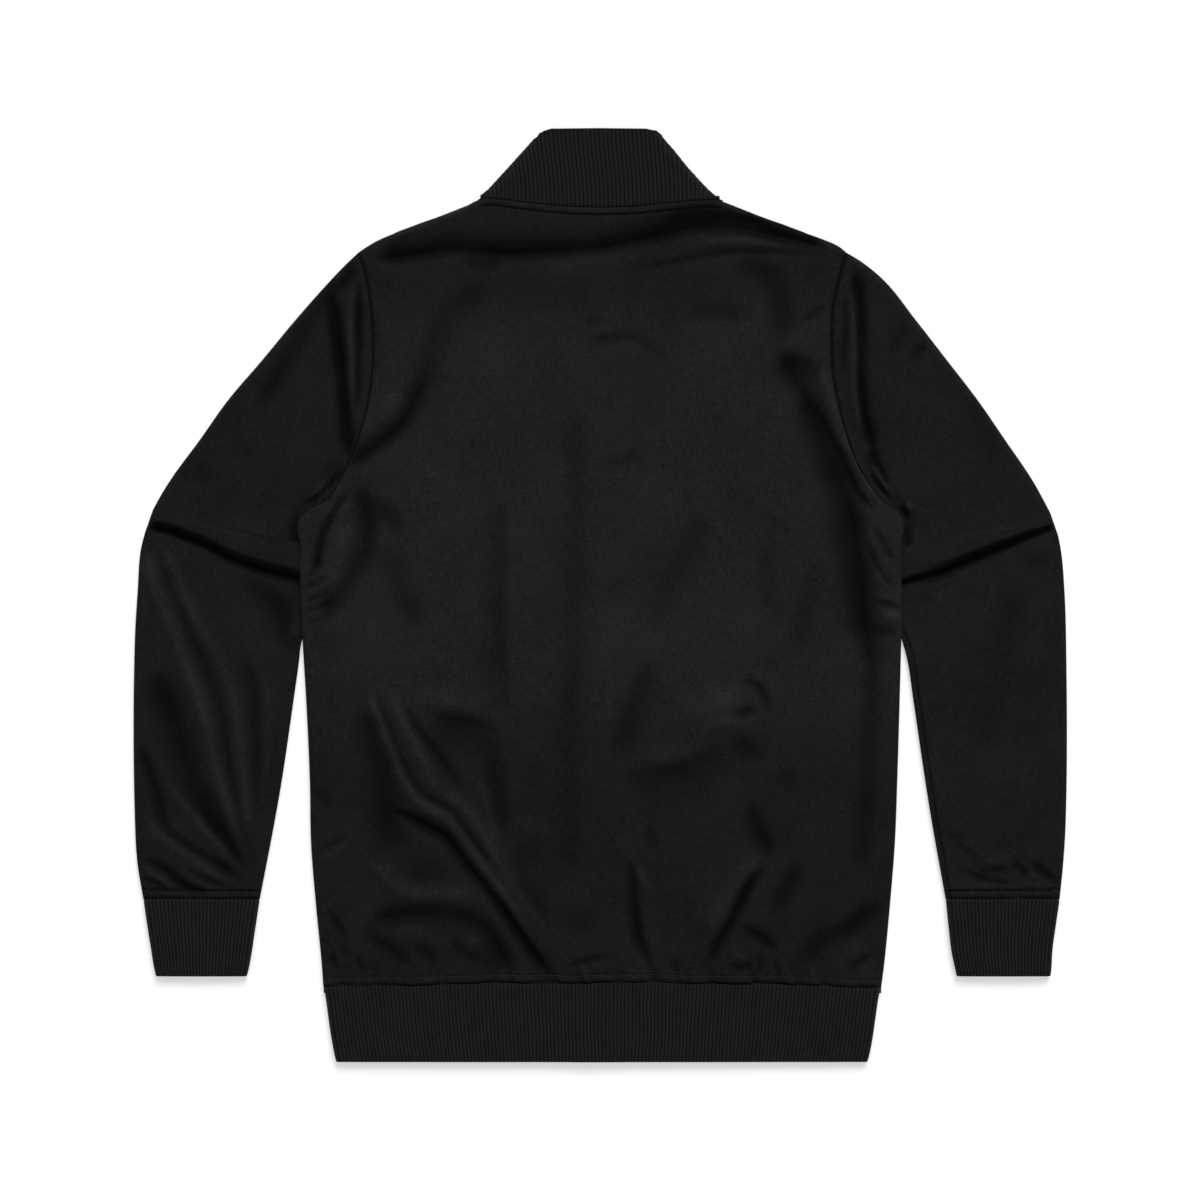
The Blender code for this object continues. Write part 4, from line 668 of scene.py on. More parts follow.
def makeSleeve(side):
    made = sleevePanel
    width, upperLength, lowerLength = made["width"], made["upperLength"], made["lowerLength"]
    top = edgeSteps(width, made["step"])
    beneath = [width - 2.5, width - 6, *np.arange(width - 14, 12, -made["bottomStep"]), 6, 2.5]
    u = np.concatenate([top, np.array(beneath) / width])
    onTop = np.arange(len(u)) < len(top)
    fromEdge = np.minimum(u, 1 - u) * width

    def edgeX(rows, y):
        return readCurve(jacket[rows], y, sideColumn(side))

    def stretch(first, last, shares):
        # rows between two rings, with both edges kept on the outline
        f = shares[:, None]
        flat = first[None] + (last - first)[None] * f[..., None]
        for rows, edge, weight in (("sleeveOuter", 0, 1 - u), ("sleeveInner", len(top) - 1, u)):
            (ax, ay), (bx, by) = first[edge], last[edge]
            offLine = mix(ax - edgeX(rows, ay), bx - edgeX(rows, by), f)
            flat[..., 0] += weight * (edgeX(rows, mix(ay, by, f)) + offLine - mix(ax, bx, f))
        return flat

    # ring positions at the armhole, the pleat and the cuff
    hole = armholeLine(side)
    close, even = np.array(made["closeShares"]), np.arange(0.11, 0.9, 0.11)
    known, seamShares = [np.concatenate([close / length, even, 1 - close[::-1] / length])
                         for length in (width, distances(hole)[-1])]
    start = walkLine(hole, np.interp(u, known, seamShares))
    rows = [(s, px, py) for s, (px, py) in zip(made["pleatShares"], made[sided("pleat", side)])]
    place = np.stack([readCurve(rows, u, 1), readCurve(rows, u, 2)], axis=-1)
    lean = side * mix(made["lean"][0], made["lean"][1], smooth((u - 0.7) / 0.3))
    fall = np.stack([lean, np.full_like(u, -0.94)], axis=-1)
    fall /= np.linalg.norm(fall, axis=-1)[:, None]
    overlap = np.interp(u, made["overlapShares"], made["overlaps"]) * onTop
    run, drop = pleatRows(overlap)
    drop = drop * mix(0.2, 1.0, smooth(fromEdge / 6.5))
    firstRow, lastRow = [place + fall * run[k][:, None] for k in (0, -1)]
    f = np.concatenate([np.array(made["closeRows"]) / upperLength,
                        np.linspace(9.6 / upperLength, 1, made["upperRows"], endpoint=False)])
    g = 1 - edgeSteps(lowerLength, made["step"], both=False)[::-1]
    g = g[g > 0.002]
    endY = jacket["cuffSeam"]
    end = np.stack([mix(edgeX("sleeveOuter", endY), edgeX("sleeveInner", endY), u), np.full_like(u, endY)],
                   axis=-1)
    points = np.concatenate([stretch(start, firstRow, f), place[None] + fall[None] * run[..., None],
                             stretch(lastRow, end, g)])
    x, y = points[..., 0], points[..., 1]

    def perRow(upper, pleat, lower):
        # one value for each row: above the pleat, through it and below it
        return np.concatenate([upper + 0 * f, pleat + 0 * run[:, 0], lower + 0 * g])[:, None]

    # heights
    f2, g2, uu = f[:, None], g[:, None], u[None, :]
    face, middles = made["face"], made["middles"]
    hump = np.sin(np.pi * uu) ** 2
    upperZ = mix(mix(face["armhole"], face["head"], smooth(f2 * 4)), face["pleat"], smooth((f2 - 0.4) / 0.6))
    upperZ = mix(upperZ, face["underarm"], smooth((uu - 0.72) / 0.14)) + face["hump"] * hump * smooth(f2 * 3)
    inwards = 0.4 * smooth((uu - 0.5) / 0.3)
    onApproach = (np.arange(len(run)) < made["approachRows"])[:, None]
    bulge = 0.9 * near(run + 13, 8.0) * onApproach * smooth(overlap / 7)
    pleatZ = face["pleat"] - inwards + face["hump"] * hump - drop + bulge
    lowerZ = mix(face["pleat"] - made["pleatDrop"] - inwards, face["cuff"], smooth(g2 * 4))
    lowerZ = lowerZ + mix(face["hump"], 1.2, g2) * hump
    z = np.concatenate([upperZ, pleatZ, lowerZ])
    middle = np.concatenate([mix(middles["armhole"], middles["edge"], f2) + 0 * uu,
                             mix(middles["edge"], middles["pleat"], drop / made["pleatDrop"]),
                             mix(middles["pleat"], middles["edge"], smooth(g2 * 4)) + 0 * uu])
    fromArmhole = perRow(f * upperLength, upperLength, upperLength)
    fromCuff = perRow(lowerLength, lowerLength, (1 - g) * lowerLength)
    foldShare = smooth(fromArmhole / 8) * (1 - smooth((uu - 0.88) / 0.06) * smooth((y + 50) / 20))
    steady = smooth(perRow((1 - f) * upperLength, 0, g * lowerLength) / 14)
    wrinkles = foldField(made[sided("folds", side)], x, y)
    seedShift = 7 if side > 0 else 0
    z = z + addUneven(wrinkles, made["uneven"], x, y, seedShift) * foldShare * steady
    z = mix(backFace(x[0], y[0]), z, smooth(fromArmhole / 14))
    z = z - backPanel["seamDip"] * near(fromArmhole, backPanel["dipWidth"])
    z = z - backPanel["seamDip"] * near(fromCuff, backPanel["hemDipWidth"])
    z = softFloor(z, 3.0, 1.2) + stitchGroove(fromCuff, jacket["cuffStitch"])
    z = z + puckers(x, fromCuff, *made["cuffPuckers"], shift=side)
    z = z + puckers(y * 1.1, fromArmhole, *made["armPuckers"], shift=side)
    z = np.where(onTop, mix(middle, z, roll(fromEdge)), mix(middle, jacket["floorGap"], roll(fromEdge, 5.0)))
    abovePleat = perRow(1, 0, 0) > 0
    z = np.where(onTop & abovePleat, np.maximum(z, 0.6), z)

    # tone, painted shade and highlight: a painted shadow in the pleat's mouth under the overhanging fold,
    # painted shade in the seams and along the stitch row
    mouthReach = 0.5 + 0.55 * np.sin(np.pi * uu) if side > 0 else 1.0
    mouthRun = run / mouthReach
    onNose = np.arange(len(run))[:, None] < 2 * made["approachRows"]
    mouth = np.where(onNose, smooth((mouthRun + 6.5) / 4.5), 1 - smooth((mouthRun - 1) / 5))
    # painted shadow in the pleat's mouth
    pleatShade = np.zeros(z.shape)
    pleatShade[len(f):len(f) + len(run)] = -made["mouthShade"] * mouth * smooth(fromEdge / 9)
    fromInner = (1 - uu) * abs(edgeX("sleeveInner", y) - edgeX("sleeveOuter", y))
    seamLine = near(fromInner - made["seamInset"], 1.0) * smooth((-26 - y) / 6) * (side > 0) * onTop
    z = z - made["seamDepth"] * seamLine
    # painted shade and highlight on the creases; painted shade in the pleat's mouth, the underarm seam, along
    # the cuff's stitch row, in the cuff and armhole seams and over the whole upper side
    tone = (paintedCreaseShading(z, wrinkles * backPanel["paintedShadeGain"] * foldShare) * steady + pleatShade
            - 1.3 * seamLine - made["shade"] - 1.4 * near(fromCuff - jacket["cuffStitch"], 1.0)
            - backPanel["hemShade"] * near(fromCuff, backPanel["shadeSpan"])
            - backPanel["seamShade"] * near(fromArmhole, 1.0)) * onTop
    points, tone = withAllowance(np.stack([x, y, z], axis=-1), tone)
    turnedIn = points[:1] + np.where(onTop[:, None], [-4.0 * side, 0, -0.8], [-4.0 * side, 0, 0.5])
    points, tone = np.concatenate([turnedIn, points]), np.concatenate([tone[:1], tone])
    last = points[-2:]
    last[..., 0] = mix(last[..., 0], last[..., 0].mean(axis=1, keepdims=True), 0.03)
    last[..., 2] = np.maximum(last[..., 2], 1.6)
    return gridPiece(sided("sleeve", side), points, closed=True, up=side < 0, paintedShading=tone)


# rib knit
ribKnit = {
    "wall": 2.5,
    "rise": 1.0,
    "belowRise": 0.35,
    "perRib": 6,                # columns
    "perRibBelow": 4,
    "cuffRibs": 29,
    "hemRibs": 146,
    "collarRibs": 58,
    "faceZ": 5.3,               # of the wall's middle on the upper side
    "foldRoll": 4.5,
    "seamRows": [0, 0.3, 0.7, 1.2, 1.8, 2.6, 4.0],      # from the seam
    "foldRows": [4, 3.2, 2.4, 1.7, 1.1, 0.6, 0.25, 0],  # from the folded edge
    "foldTurns": (20, 40, 60, 80, 100, 120, 150, 180),
    "tone": (-1.3, 0.7, 0.3),   # painted shade in a valley, painted highlight on a rib, and painted shade taken off beside the seam
}


def ribShape(s):
    # a rounded rib with a sharp valley at each whole number
    return np.sqrt(np.abs(np.sin(np.pi * s)) + 1e-9)


def ribRise(s, onTop):
    # ribs stand out on the upper side, and valleys sink in on the lower side
    low = ribKnit["belowRise"]
    return np.where(onTop, ribKnit["rise"], low) * ribShape(s) - np.where(onTop, 0.0, low)


def ribMiddle(onTop, fromEdge, topZ, belowZ):
    # height of the wall's middle, rounded over at the side folds
    foldZ = (ribKnit["faceZ"] + ribKnit["wall"] / 2) / 2
    return mix(foldZ, np.where(onTop, topZ, belowZ), roll(fromEdge, ribKnit["foldRoll"]))


def knitPiece(name, middle, rise, facing, closed=False, endShare=1.0, seamDip=True, tuckIn=8.0):
    # middle: rows of the wall's middle from seam to fold. rise: the rib's height at each column.
    # facing: a column and whether it faces up (1) or down (-1). endShare: how round the fold is
    half = ribKnit["wall"] / 2
    rise = np.broadcast_to(rise, middle.shape[:2])
    along = np.gradient(middle, axis=0)
    if closed:
        across = np.roll(middle, -1, axis=1) - np.roll(middle, 1, axis=1)
    else:
        across = np.gradient(middle, axis=1)
    normal = np.cross(along, across)
    normal /= np.linalg.norm(normal, axis=-1)[..., None] + 1e-9
    outwards = normal[len(middle) // 2, facing[0], 2] * facing[1] > 0
    if not outwards:
        normal = -normal
    along /= np.linalg.norm(along, axis=-1)[..., None] + 1e-9
    depth = half + rise
    if seamDip:
        steps = np.linalg.norm(np.diff(middle, axis=0), axis=-1).max(axis=1)
        fromSeam = np.concatenate([[0.0], np.cumsum(steps)])
        depth = depth * mix(0.12, 1.0, roll(fromSeam, 2.6))[:, None]
    outer = middle + normal * depth[..., None]
    last, out, on = middle[-1], normal[-1], along[-1]
    shares = np.broadcast_to(endShare, len(last))
    ends = []
    for a in np.radians(ribKnit["foldTurns"]):
        size = half + rise[-1] * max(math.cos(a), 0.0)
        ends.append(last + on * (half * math.sin(a) * shares)[:, None]
                    + out * (size * math.cos(a))[:, None])
    ends.append(ends[-1] - on * (tuckIn * shares)[:, None])
    # painted shade in the rib valleys and beside the seam, painted highlight on the ribs
    valley, ridge, seamTone = ribKnit["tone"]
    column = rise.max(axis=0)
    paintedShading = valley + (ridge - valley) * np.clip(column / column.max(), -0.2, 1)
    paintedShading = np.broadcast_to(paintedShading, (len(outer) + len(ends), len(paintedShading))).copy()
    paintedShading[:3] -= seamTone * seamDip
    return gridPiece(name, np.concatenate([outer, np.array(ends)]), closed=closed, up=outwards, paintedShading=paintedShading)


def seamRows(length, step=3.0):
    close = ribKnit["seamRows"]
    even = np.linspace(close[-1], length, int((length - close[-1]) / step) + 2)
    return np.concatenate([close, even[1:]]) / length


def makeCuff(side):
    made, inset = ribKnit, ribKnit["wall"] / 2
    top = np.linspace(0.0, 1.0, made["cuffRibs"] * made["perRib"] + 1)
    below = np.linspace(1.0, 0.0, made["cuffRibs"] * made["perRibBelow"] + 1)[1:-1]
    u = np.concatenate([top, below])
    onTop = np.arange(len(u)) < len(top)
    f = seamRows(jacket["cuffSeam"] - jacket["cuffEnd"] - inset)
    y = mix(jacket["cuffSeam"], jacket["cuffEnd"] + inset, f)[:, None]
    edges = [readCurve(jacket[rows], y, sideColumn(side)) for rows in ("cuffOuter", "cuffInner")]
    low, high = np.minimum(*edges) + inset, np.maximum(*edges) - inset
    x = mix(low, high, u)
    y = y + 0 * x
    fromEdge = np.minimum(u, 1 - u) * (high - low)
    topZ = made["faceZ"] + 0.6 * np.sin(np.pi * u) + 0.3 * unevenField(x, y, 22, 81 + side)
    z = ribMiddle(onTop, fromEdge, topZ, inset)
    x = x + 0.5 * unevenField(x * 0 + 30 * side, y, 20, 83)
    rise = ribRise(u * made["cuffRibs"], onTop)
    return knitPiece(sided("cuff", side), np.stack([x, y, z], axis=-1), rise, (len(top) // 2, 1), closed=True)


def makeHem():
    made, inset = ribKnit, ribKnit["wall"] / 2
    top = np.linspace(1.0, 0.0, made["hemRibs"] * made["perRib"] + 1)
    # the lower side stops beside the zip
    halfRight = np.linspace(0.5098, 1.0, made["hemRibs"] // 2 * made["perRibBelow"] + 1)[:-1]
    u = np.concatenate([halfRight, top, 1 - halfRight[::-1]])
    index = np.arange(len(u)) - len(halfRight)
    onTop = (index >= 0) & (index < len(top))
    f = seamRows(jacket["hemSeam"] - jacket["hemEnd"] - inset)[:, None]
    y = mix(jacket["hemSeam"], jacket["hemEnd"] + inset, f)
    left, right = readCurve(jacket["hemSide"], y, 1) + inset, readCurve(jacket["hemSide"], y, 2) - inset
    x = mix(left, right, u)
    y = y + (hemY(x) - jacket["hemSeam"]) * (1 - f)
    topZ = made["faceZ"] + 0.5 * np.sin(np.pi * u) + 0.45 * zipLift(x) + 0.35 * unevenField(x, y, 34, 91)
    z = ribMiddle(onTop, np.minimum(u, 1 - u) * (right - left), topZ, inset + zipLift(x))
    x = x + 0.35 * unevenField(x * 0.6, y, 26, 93) * smooth(f * 3)
    return knitPiece("hemBand", np.stack([x, y, z], axis=-1), ribRise(u * made["hemRibs"], onTop),
                     (len(u) // 2, 1))


# collar
collarBand = {
    "seamZ": 8.6,
    "endZ": 4.6,
    "depth": 67.0,
    "topHalf": 47.0,
    "topY": 392.5,
    "foldY": 332.0,
    "leanLeft": -0.10,          # how far a rib leans to the left as it rises, at each end of the neck
    "leanRight": -0.05,
    "foldLeft": ((-46.5, 391), (-100.5, 332)),
    "foldRight": ((44, 391), (97.5, 332)),
    # off centre and height of the closed collar's outline, left and right
    "edge": [(-102.5, 332), (-98, 336), (-93, 340), (-85.2, 348.6), (-77.5, 357), (-70, 365.4),
             (-62.4, 373.8), (-55, 382.2), (-51.5, 386.4), (-47.5, 390), (-41, 392), (0, 392.4),
             (39, 392), (46, 390), (50.5, 386.4), (53.2, 382.2), (60.7, 373.8), (67.4, 365.4),
             (74, 357), (81.7, 348.6), (90, 340), (94.4, 336), (99.5, 332)],
}


def collarSlope():
    # angle of the folded edge at each end of the collar
    made = collarBand
    return math.atan2(made["topY"] - made["foldY"], jacket["neckHalf"] - made["topHalf"])


def makeCollarBack():
    made, inset = collarBand, ribKnit["wall"] / 2
    half = jacket["neckHalf"] - 1.6
    s = np.linspace(-half, half, ribKnit["collarRibs"] * ribKnit["perRib"] + 1)
    baseY = neckY(s)
    edgeX, edgeY = np.array(made["edge"], float).T
    leaning = mix(made["leanLeft"], made["leanRight"], (s + half) / (2 * half)) * smooth((92 - abs(s)) / 30)

    def lean(y):
        return leaning * (y - baseY) * smooth((y - baseY) / made["depth"] + 0.2)

    endY = np.interp(s, edgeX, edgeY)
    for again in range(4):
        endY = np.interp(s + lean(endY), edgeX, edgeY)
    onTop = 1 - smooth((abs(s) - 42) / 8)
    endY = np.maximum(endY, baseY + 2.5) - inset * onTop
    height = 60
    close, folding = np.array(ribKnit["seamRows"]) / height, np.array(ribKnit["foldRows"]) / height
    f = np.concatenate([close, np.linspace(close[-1], 1 - 5 / height, 20)[1:], 1 - folding])[:, None]
    y = mix(baseY, endY, f)
    x = s + lean(y)
    fromFold = (endY - y) * math.cos(collarSlope()) + 200 * onTop
    topZ = mix(made["seamZ"], made["endZ"], (y - baseY) / made["depth"]) + 0.3 * unevenField(x, y, 26, 101)
    z = mix((topZ + inset) / 2, topZ, roll(fromFold, 5.0))
    rise = ribKnit["rise"] * ribShape(np.arange(len(s)) / ribKnit["perRib"])
    rise = rise * mix(0.2, 1.0, smooth(fromFold / 7))
    return knitPiece("collarBack", np.stack([x, y, z], axis=-1), rise, (len(s) // 2, 1), endShare=onTop)


def neckLine(t, side):
    return np.stack([side * mix(jacket["neckHalf"] + 1, jacket["zipHalf"], t),
                     mix(331.0, jacket["frontNeck"], np.sin(t * np.pi / 2))], axis=-1)


def makeCollarFront(side):
    # beneath: a fan from the side fold to the zip, and the part turned under along the fold
    made, inset = collarBand, ribKnit["wall"] / 2
    slope = collarSlope()
    startTurn = 2 * slope - math.pi / 2
    turned = np.linspace(0.04, 1, 60, endpoint=False)
    fan = np.linspace(0, 1, 121)
    top, low = np.array(made[sided("fold", side)], float)
    neck = neckLine(np.linspace(0, 1, 40), side)
    bases = np.concatenate([mix(top, low, turned[:, None]), walkLine(neck, fan)])
    turns = np.concatenate([np.full(len(turned), startTurn), mix(startTurn, math.pi / 2, fan)])
    lengths = made["depth"] * np.concatenate([turned, np.ones(len(fan))]) - inset
    out = seamRows(60.0, 4.0)[:, None] * lengths
    x = bases[:, 0] - side * out * np.cos(turns)
    y = bases[:, 1] + out * np.sin(turns)
    turnedUnder = np.concatenate([np.ones(len(turned)), 1 - smooth(fan * 12)])
    z = inset + zipLift(x) + 1.9 * turnedUnder * (1 - roll(out * math.cos(slope), 5.0))
    rise = ribRise(np.arange(len(turns)) / ribKnit["perRibBelow"], False)
    return knitPiece(sided("collarFront", side), np.stack([x, y, z], axis=-1), rise, (len(turns) - 2, -1),
                     seamDip=False, tuckIn=5.0)


# fronts, beneath
frontPanel = {
    "step": 5.0,
    "width": 235.0,
    "shoulderShare": 0.42,      # of the top edge, the rest is the neck
    "shoulder": [(170.5, 305.5), (134.5, 318.5), (103, 331)],
    "turning": 9.0,             # width turned in beside the zip
    "turns": [35, 75, 115, 150, 180],
    "turnSize": 0.6,
}


def makeFront(side):
    made = frontPanel
    edge = panelEdge(side, made["step"])
    done = distances(edge)
    v = (done / done[-1])[:, None]
    u = edgeSteps(made["width"], made["step"], both=False)
    split = made["shoulderShare"]
    onShoulder = u <= split
    shoulder = [edge[0]] + [(side * x, y) for x, y in made["shoulder"]]
    neck = neckLine(np.linspace(0, 1, 40), side)
    top = np.where(onShoulder[:, None], walkLine(shoulder, np.minimum(u / split, 1)),
                   walkLine(neck, np.clip((u - split) / (1 - split), 0, 1)))
    zipTop, zipEnd = [np.array([side * jacket["zipHalf"], jacket[row]]) for row in ("frontNeck", "hemSeam")]
    base = mix(edge[:, None], mix(zipTop, zipEnd, v)[:, None], u[:, None])
    lowX = mix(edge[-1, 0], zipEnd[0], u)
    low = np.stack([lowX, hemY(lowX)], axis=-1)
    atTop = top - mix(edge[0], zipTop, u[:, None])
    atLow = low - mix(edge[-1], zipEnd, u[:, None])
    x = base[..., 0] + atTop[:, 0] * (1 - v) ** 1.5 + atLow[:, 0] * v
    y = base[..., 1] + atTop[:, 1] * (1 - v) ** 1.5 + atLow[:, 1] * v ** 3
    z = jacket["floorGap"] + tuckLift(x, y) + zipLift(x)
    z = z + np.maximum(0, 0.35 * unevenField(x, y, 45, 111 + side))
    z = mix(z, mix(edgeMiddle(x, y), z, roll(u * made["width"])), foldedShare(edge))
    z = np.where(onShoulder, mix(jacket["edgeHeight"], z, roll(v * done[-1])), z)
    points = np.stack([x, y, z], axis=-1)
    turns, size = np.radians(made["turns"]), made["turnSize"]
    turned = points[:, -1:] + np.stack([-side * size * np.sin(turns), 0 * turns, size * (1 - np.cos(turns))],
                                       axis=-1)
    under = turned[:, -1:] + [side * made["turning"], 0, 0]
    return gridPiece(sided("frontPanel", side), np.concatenate([points, turned, under], axis=1), up=side > 0)


print("making cloth")
backCloth = makeBack()
sleeveCloth = {side: makeSleeve(side) for side in (-1, 1)}
frontCloth = {side: makeFront(side) for side in (-1, 1)}
print("making rib knit")
cuffKnit = {side: makeCuff(side) for side in (-1, 1)}
hemKnit = makeHem()
collarKnit = makeCollarBack()
collarFrontKnit = {side: makeCollarFront(side) for side in (-1, 1)}

# topstitching
stitching = {
    "length": 2.5,
    "pitch": 3.6,
    "width": 0.46,
    "sides": 6,
    # along one stitch: place, thickness and height
    "rings": [0, 0.12, 0.3, 0.5, 0.7, 0.88, 1.0],
    "thick": [0.25, 0.75, 1, 1, 1, 0.75, 0.25],
    "high": [-0.25, 0.1, 0.45, 0.6, 0.45, 0.1, -0.25],
    "rise": 2 / 3,
    "lift": 0.12,
    "reach": 3.0,               # how far round a place the cloth's height is read
}


def makeStitches(name, line):
    # line: points on the cloth where the thread runs
    made = stitching
    line = np.array(line, float)
    done = distances(line)
    turns = 2 * np.pi * np.arange(made["sides"]) / made["sides"]
    verts, faces = [], []
    for start in np.arange(made["pitch"] * 0.4, done[-1] - made["length"], made["pitch"]):
        at = start + np.array(made["rings"]) * made["length"]
        centre = np.stack([np.interp(at, done, line[:, k]) for k in range(3)], axis=-1)
        centre[:, 2] += np.array(made["high"]) * made["rise"]
        ahead = centre[-1] - centre[0]
        ahead /= np.linalg.norm(ahead)
        beside = np.cross(ahead, [0, 0, 1.0])
        beside /= np.linalg.norm(beside)
        over = np.cross(beside, ahead)
        faces += tubeFaces(len(verts), len(centre), made["sides"])
        verts += [c + (beside * math.cos(a) + over * math.sin(a)) * made["width"] * t
                  for c, t in zip(centre, made["thick"]) for a in turns]
    return newPiece(name, verts, faces)


def gridLine(piece, x, y):
    # heights on a piece's upper side at places, read from its own mesh
    reach = stitching["reach"]
    co = np.empty(len(piece.data.vertices) * 3, np.float32)
    piece.data.vertices.foreach_get("co", co)
    co = co.reshape(-1, 3) / mm
    out = []
    for px, py in zip(x, y):
        around = co[(abs(co[:, 0] - px) < reach) & (abs(co[:, 1] - py) < reach)]
        around = around[around[:, 2] > around[:, 2].max() - 4.0]
        weight = 1 / ((around[:, 0] - px) ** 2 + (around[:, 1] - py) ** 2 + 0.05) ** 2
        out.append((px, py, float((weight * around[:, 2]).sum() / weight.sum()) + stitching["lift"]))
    return out


print("sewing")
neckX = np.linspace(-97, 97, 98)
hemX = np.linspace(-226, 230, 230)
stitchRows = {
    "neckStitches": gridLine(backCloth, neckX, neckY(neckX) - jacket["neckStitch"]),
    "hemStitches": gridLine(backCloth, hemX, hemY(hemX) + jacket["hemStitch"]),
}
cuffRowY = jacket["cuffSeam"] + jacket["cuffStitch"]
for side, cuffX in ((-1, np.linspace(-380, -289, 45)), (1, np.linspace(293, 380, 45))):
    cuffRow = gridLine(sleeveCloth[side], cuffX, np.full(len(cuffX), cuffRowY))
    stitchRows[sided("cuffStitches", side)] = cuffRow
threads = [makeStitches(name, line) for name, line in stitchRows.items()]

# zip, beneath
zipParts = {
    "pitch": 2.2,
    "low": 3.75,
    "high": 5.2,
    "bevel": 0.25,
    "endShare": 0.85,           # size of a tooth's two end faces
    "toothMiddle": 0.65,
    "topTooth": 249.0,
    "tooth": [(2.6, 0.55), (0.6, 0.55), (0.1, 0.8), (-0.9, 0.7), (-1.3, 0.35)],     # across, half width
    "tapeStart": 2.75,
    "tapeWidth": 11.0,
    "tapeZ": 4.3,
    "tapeHalf": 0.3,
    # across the tape: out along its lower face, and back along its upper face
    "tapeOut": [0, 0.05, 0.12, 0.2, 0.3, 0.45, 0.6, 0.75, 0.9, 0.97, 1.0],
    "tapeBack": [1.0, 0.97, 0.75, 0.5, 0.25, 0.05, 0.0],
}


def makeTeeth(side):
    made = zipParts
    outline = made["tooth"] + [(px, -half) for px, half in reversed(made["tooth"])]
    levels = [(made["low"], made["endShare"]), (made["low"] + made["bevel"], 1.0),
              (made["high"] - made["bevel"], 1.0), (made["high"], made["endShare"])]
    first = jacket["hemEnd"] + 2.0 + (made["pitch"] / 2 if side > 0 else 0)
    verts, faces = [], []
    for y in np.arange(first, made["topTooth"], made["pitch"]):
        faces += tubeFaces(len(verts), len(levels), len(outline))
        verts += [(side * mix(made["toothMiddle"], px, share), y + half * share, z)
                  for z, share in levels for px, half in outline]
    return newPiece(sided("zipTeeth", side), verts, faces, soft=False)


def makeTape(side):
    made = zipParts
    y = np.concatenate([np.linspace(254, -310, 190), np.linspace(-311, -389.5, 40)])[:, None]
    width = mix(made["tapeWidth"], 1.2, smooth((-312.0 - y) / 13.0))
    s = np.array(made["tapeOut"] + made["tapeBack"])
    lower = np.arange(len(s)) < len(made["tapeOut"])
    x = side * (made["tapeStart"] + s * width)
    bead = 0.45 * near(s * made["tapeWidth"] - 0.8, 0.8)
    z = made["tapeZ"] + np.where(lower, -made["tapeHalf"] - bead, made["tapeHalf"]) + 0.05 * np.sin(y * 4)
    return gridPiece(sided("zipTape", side), np.stack([x, y + 0 * x, z], axis=-1), closed=True, up=side < 0)


print("making zip")
teeth = {side: makeTeeth(side) for side in (-1, 1)}
tapes = {side: makeTape(side) for side in (-1, 1)}


class Amount:
    # a number socket that can be worked with like a number
    def __init__(self, shader, socket):
        self.shader, self.socket = shader, socket

    def math(self, operation, a, b):
        return self.shader.node("ShaderNodeMath", {"operation": operation}, [a, b])

    def __add__(self, other):
        return self.math("ADD", self, other)

    def __radd__(self, other):
        return self.math("ADD", other, self)

    def __sub__(self, other):
        return self.math("SUBTRACT", self, other)

    def __rsub__(self, other):
        return self.math("SUBTRACT", other, self)

    def __mul__(self, other):
        return self.math("MULTIPLY", self, other)

    def __rmul__(self, other):
        return self.math("MULTIPLY", other, self)

    def powerOf(self, base):
        return self.math("POWER", base, self)


class Shader:
    def __init__(self, name):
        self.material = bpy.data.materials.new(name)
        self.material.use_nodes = True
        self.tree = self.material.node_tree
        self.main = self.tree.nodes["Principled BSDF"]

    def node(self, kind, settings=None, values=None, out=0):
        # values: a list for the first sockets, or a dictionary by socket name
        made = self.tree.nodes.new(kind)
        for key, value in (settings or {}).items():
            setattr(made, key, value)
        pairs = enumerate(values) if isinstance(values, list) else (values or {}).items()
        for key, value in pairs:
            self.put(made.inputs[key], value)
        return Amount(self, made.outputs[out])

    def put(self, socket, value):
        if isinstance(value, Amount):
            self.tree.links.new(value.socket, socket)
        else:
            socket.default_value = value

    def set(self, **values):
        for key, value in values.items():
            self.put(self.main.inputs[key.replace("_", " ")], value)

    def blend(self, a, b, amount):
        return self.node("ShaderNodeMix", {"data_type": "RGBA"}, {0: amount, 6: a, 7: b}, out=2)

    def scaled(self, colour, amount):
        return self.node("ShaderNodeVectorMath", {"operation": "SCALE"}, {0: colour, "Scale": amount})

    def place(self):
        return self.node("ShaderNodeTexCoord", out=3)

    def paintedShading(self):
        # the painted shade and painted highlight stored on each mesh
        return self.node("ShaderNodeAttribute", {"attribute_name": "paintedShading"}, out=2)

    def mapped(self, place, **values):
        return self.node("ShaderNodeMapping", None, {"Vector": place, **values})

    def noise(self, place, scale, detail, **values):
        return self.node("ShaderNodeTexNoise", None,
                         {"Vector": place, "Scale": scale, "Detail": detail, **values})

    def waves(self, place, direction, scale, distortion):
        return self.node("ShaderNodeTexWave", {"bands_direction": direction},
                         {"Vector": place, "Scale": scale, "Distortion": distortion, "Detail": 1.0}, out=1)

    def bump(self, strength, distance, height):
        self.set(Normal=self.node("ShaderNodeBump", None,
                                  {"Strength": strength, "Distance": distance, "Height": height}))


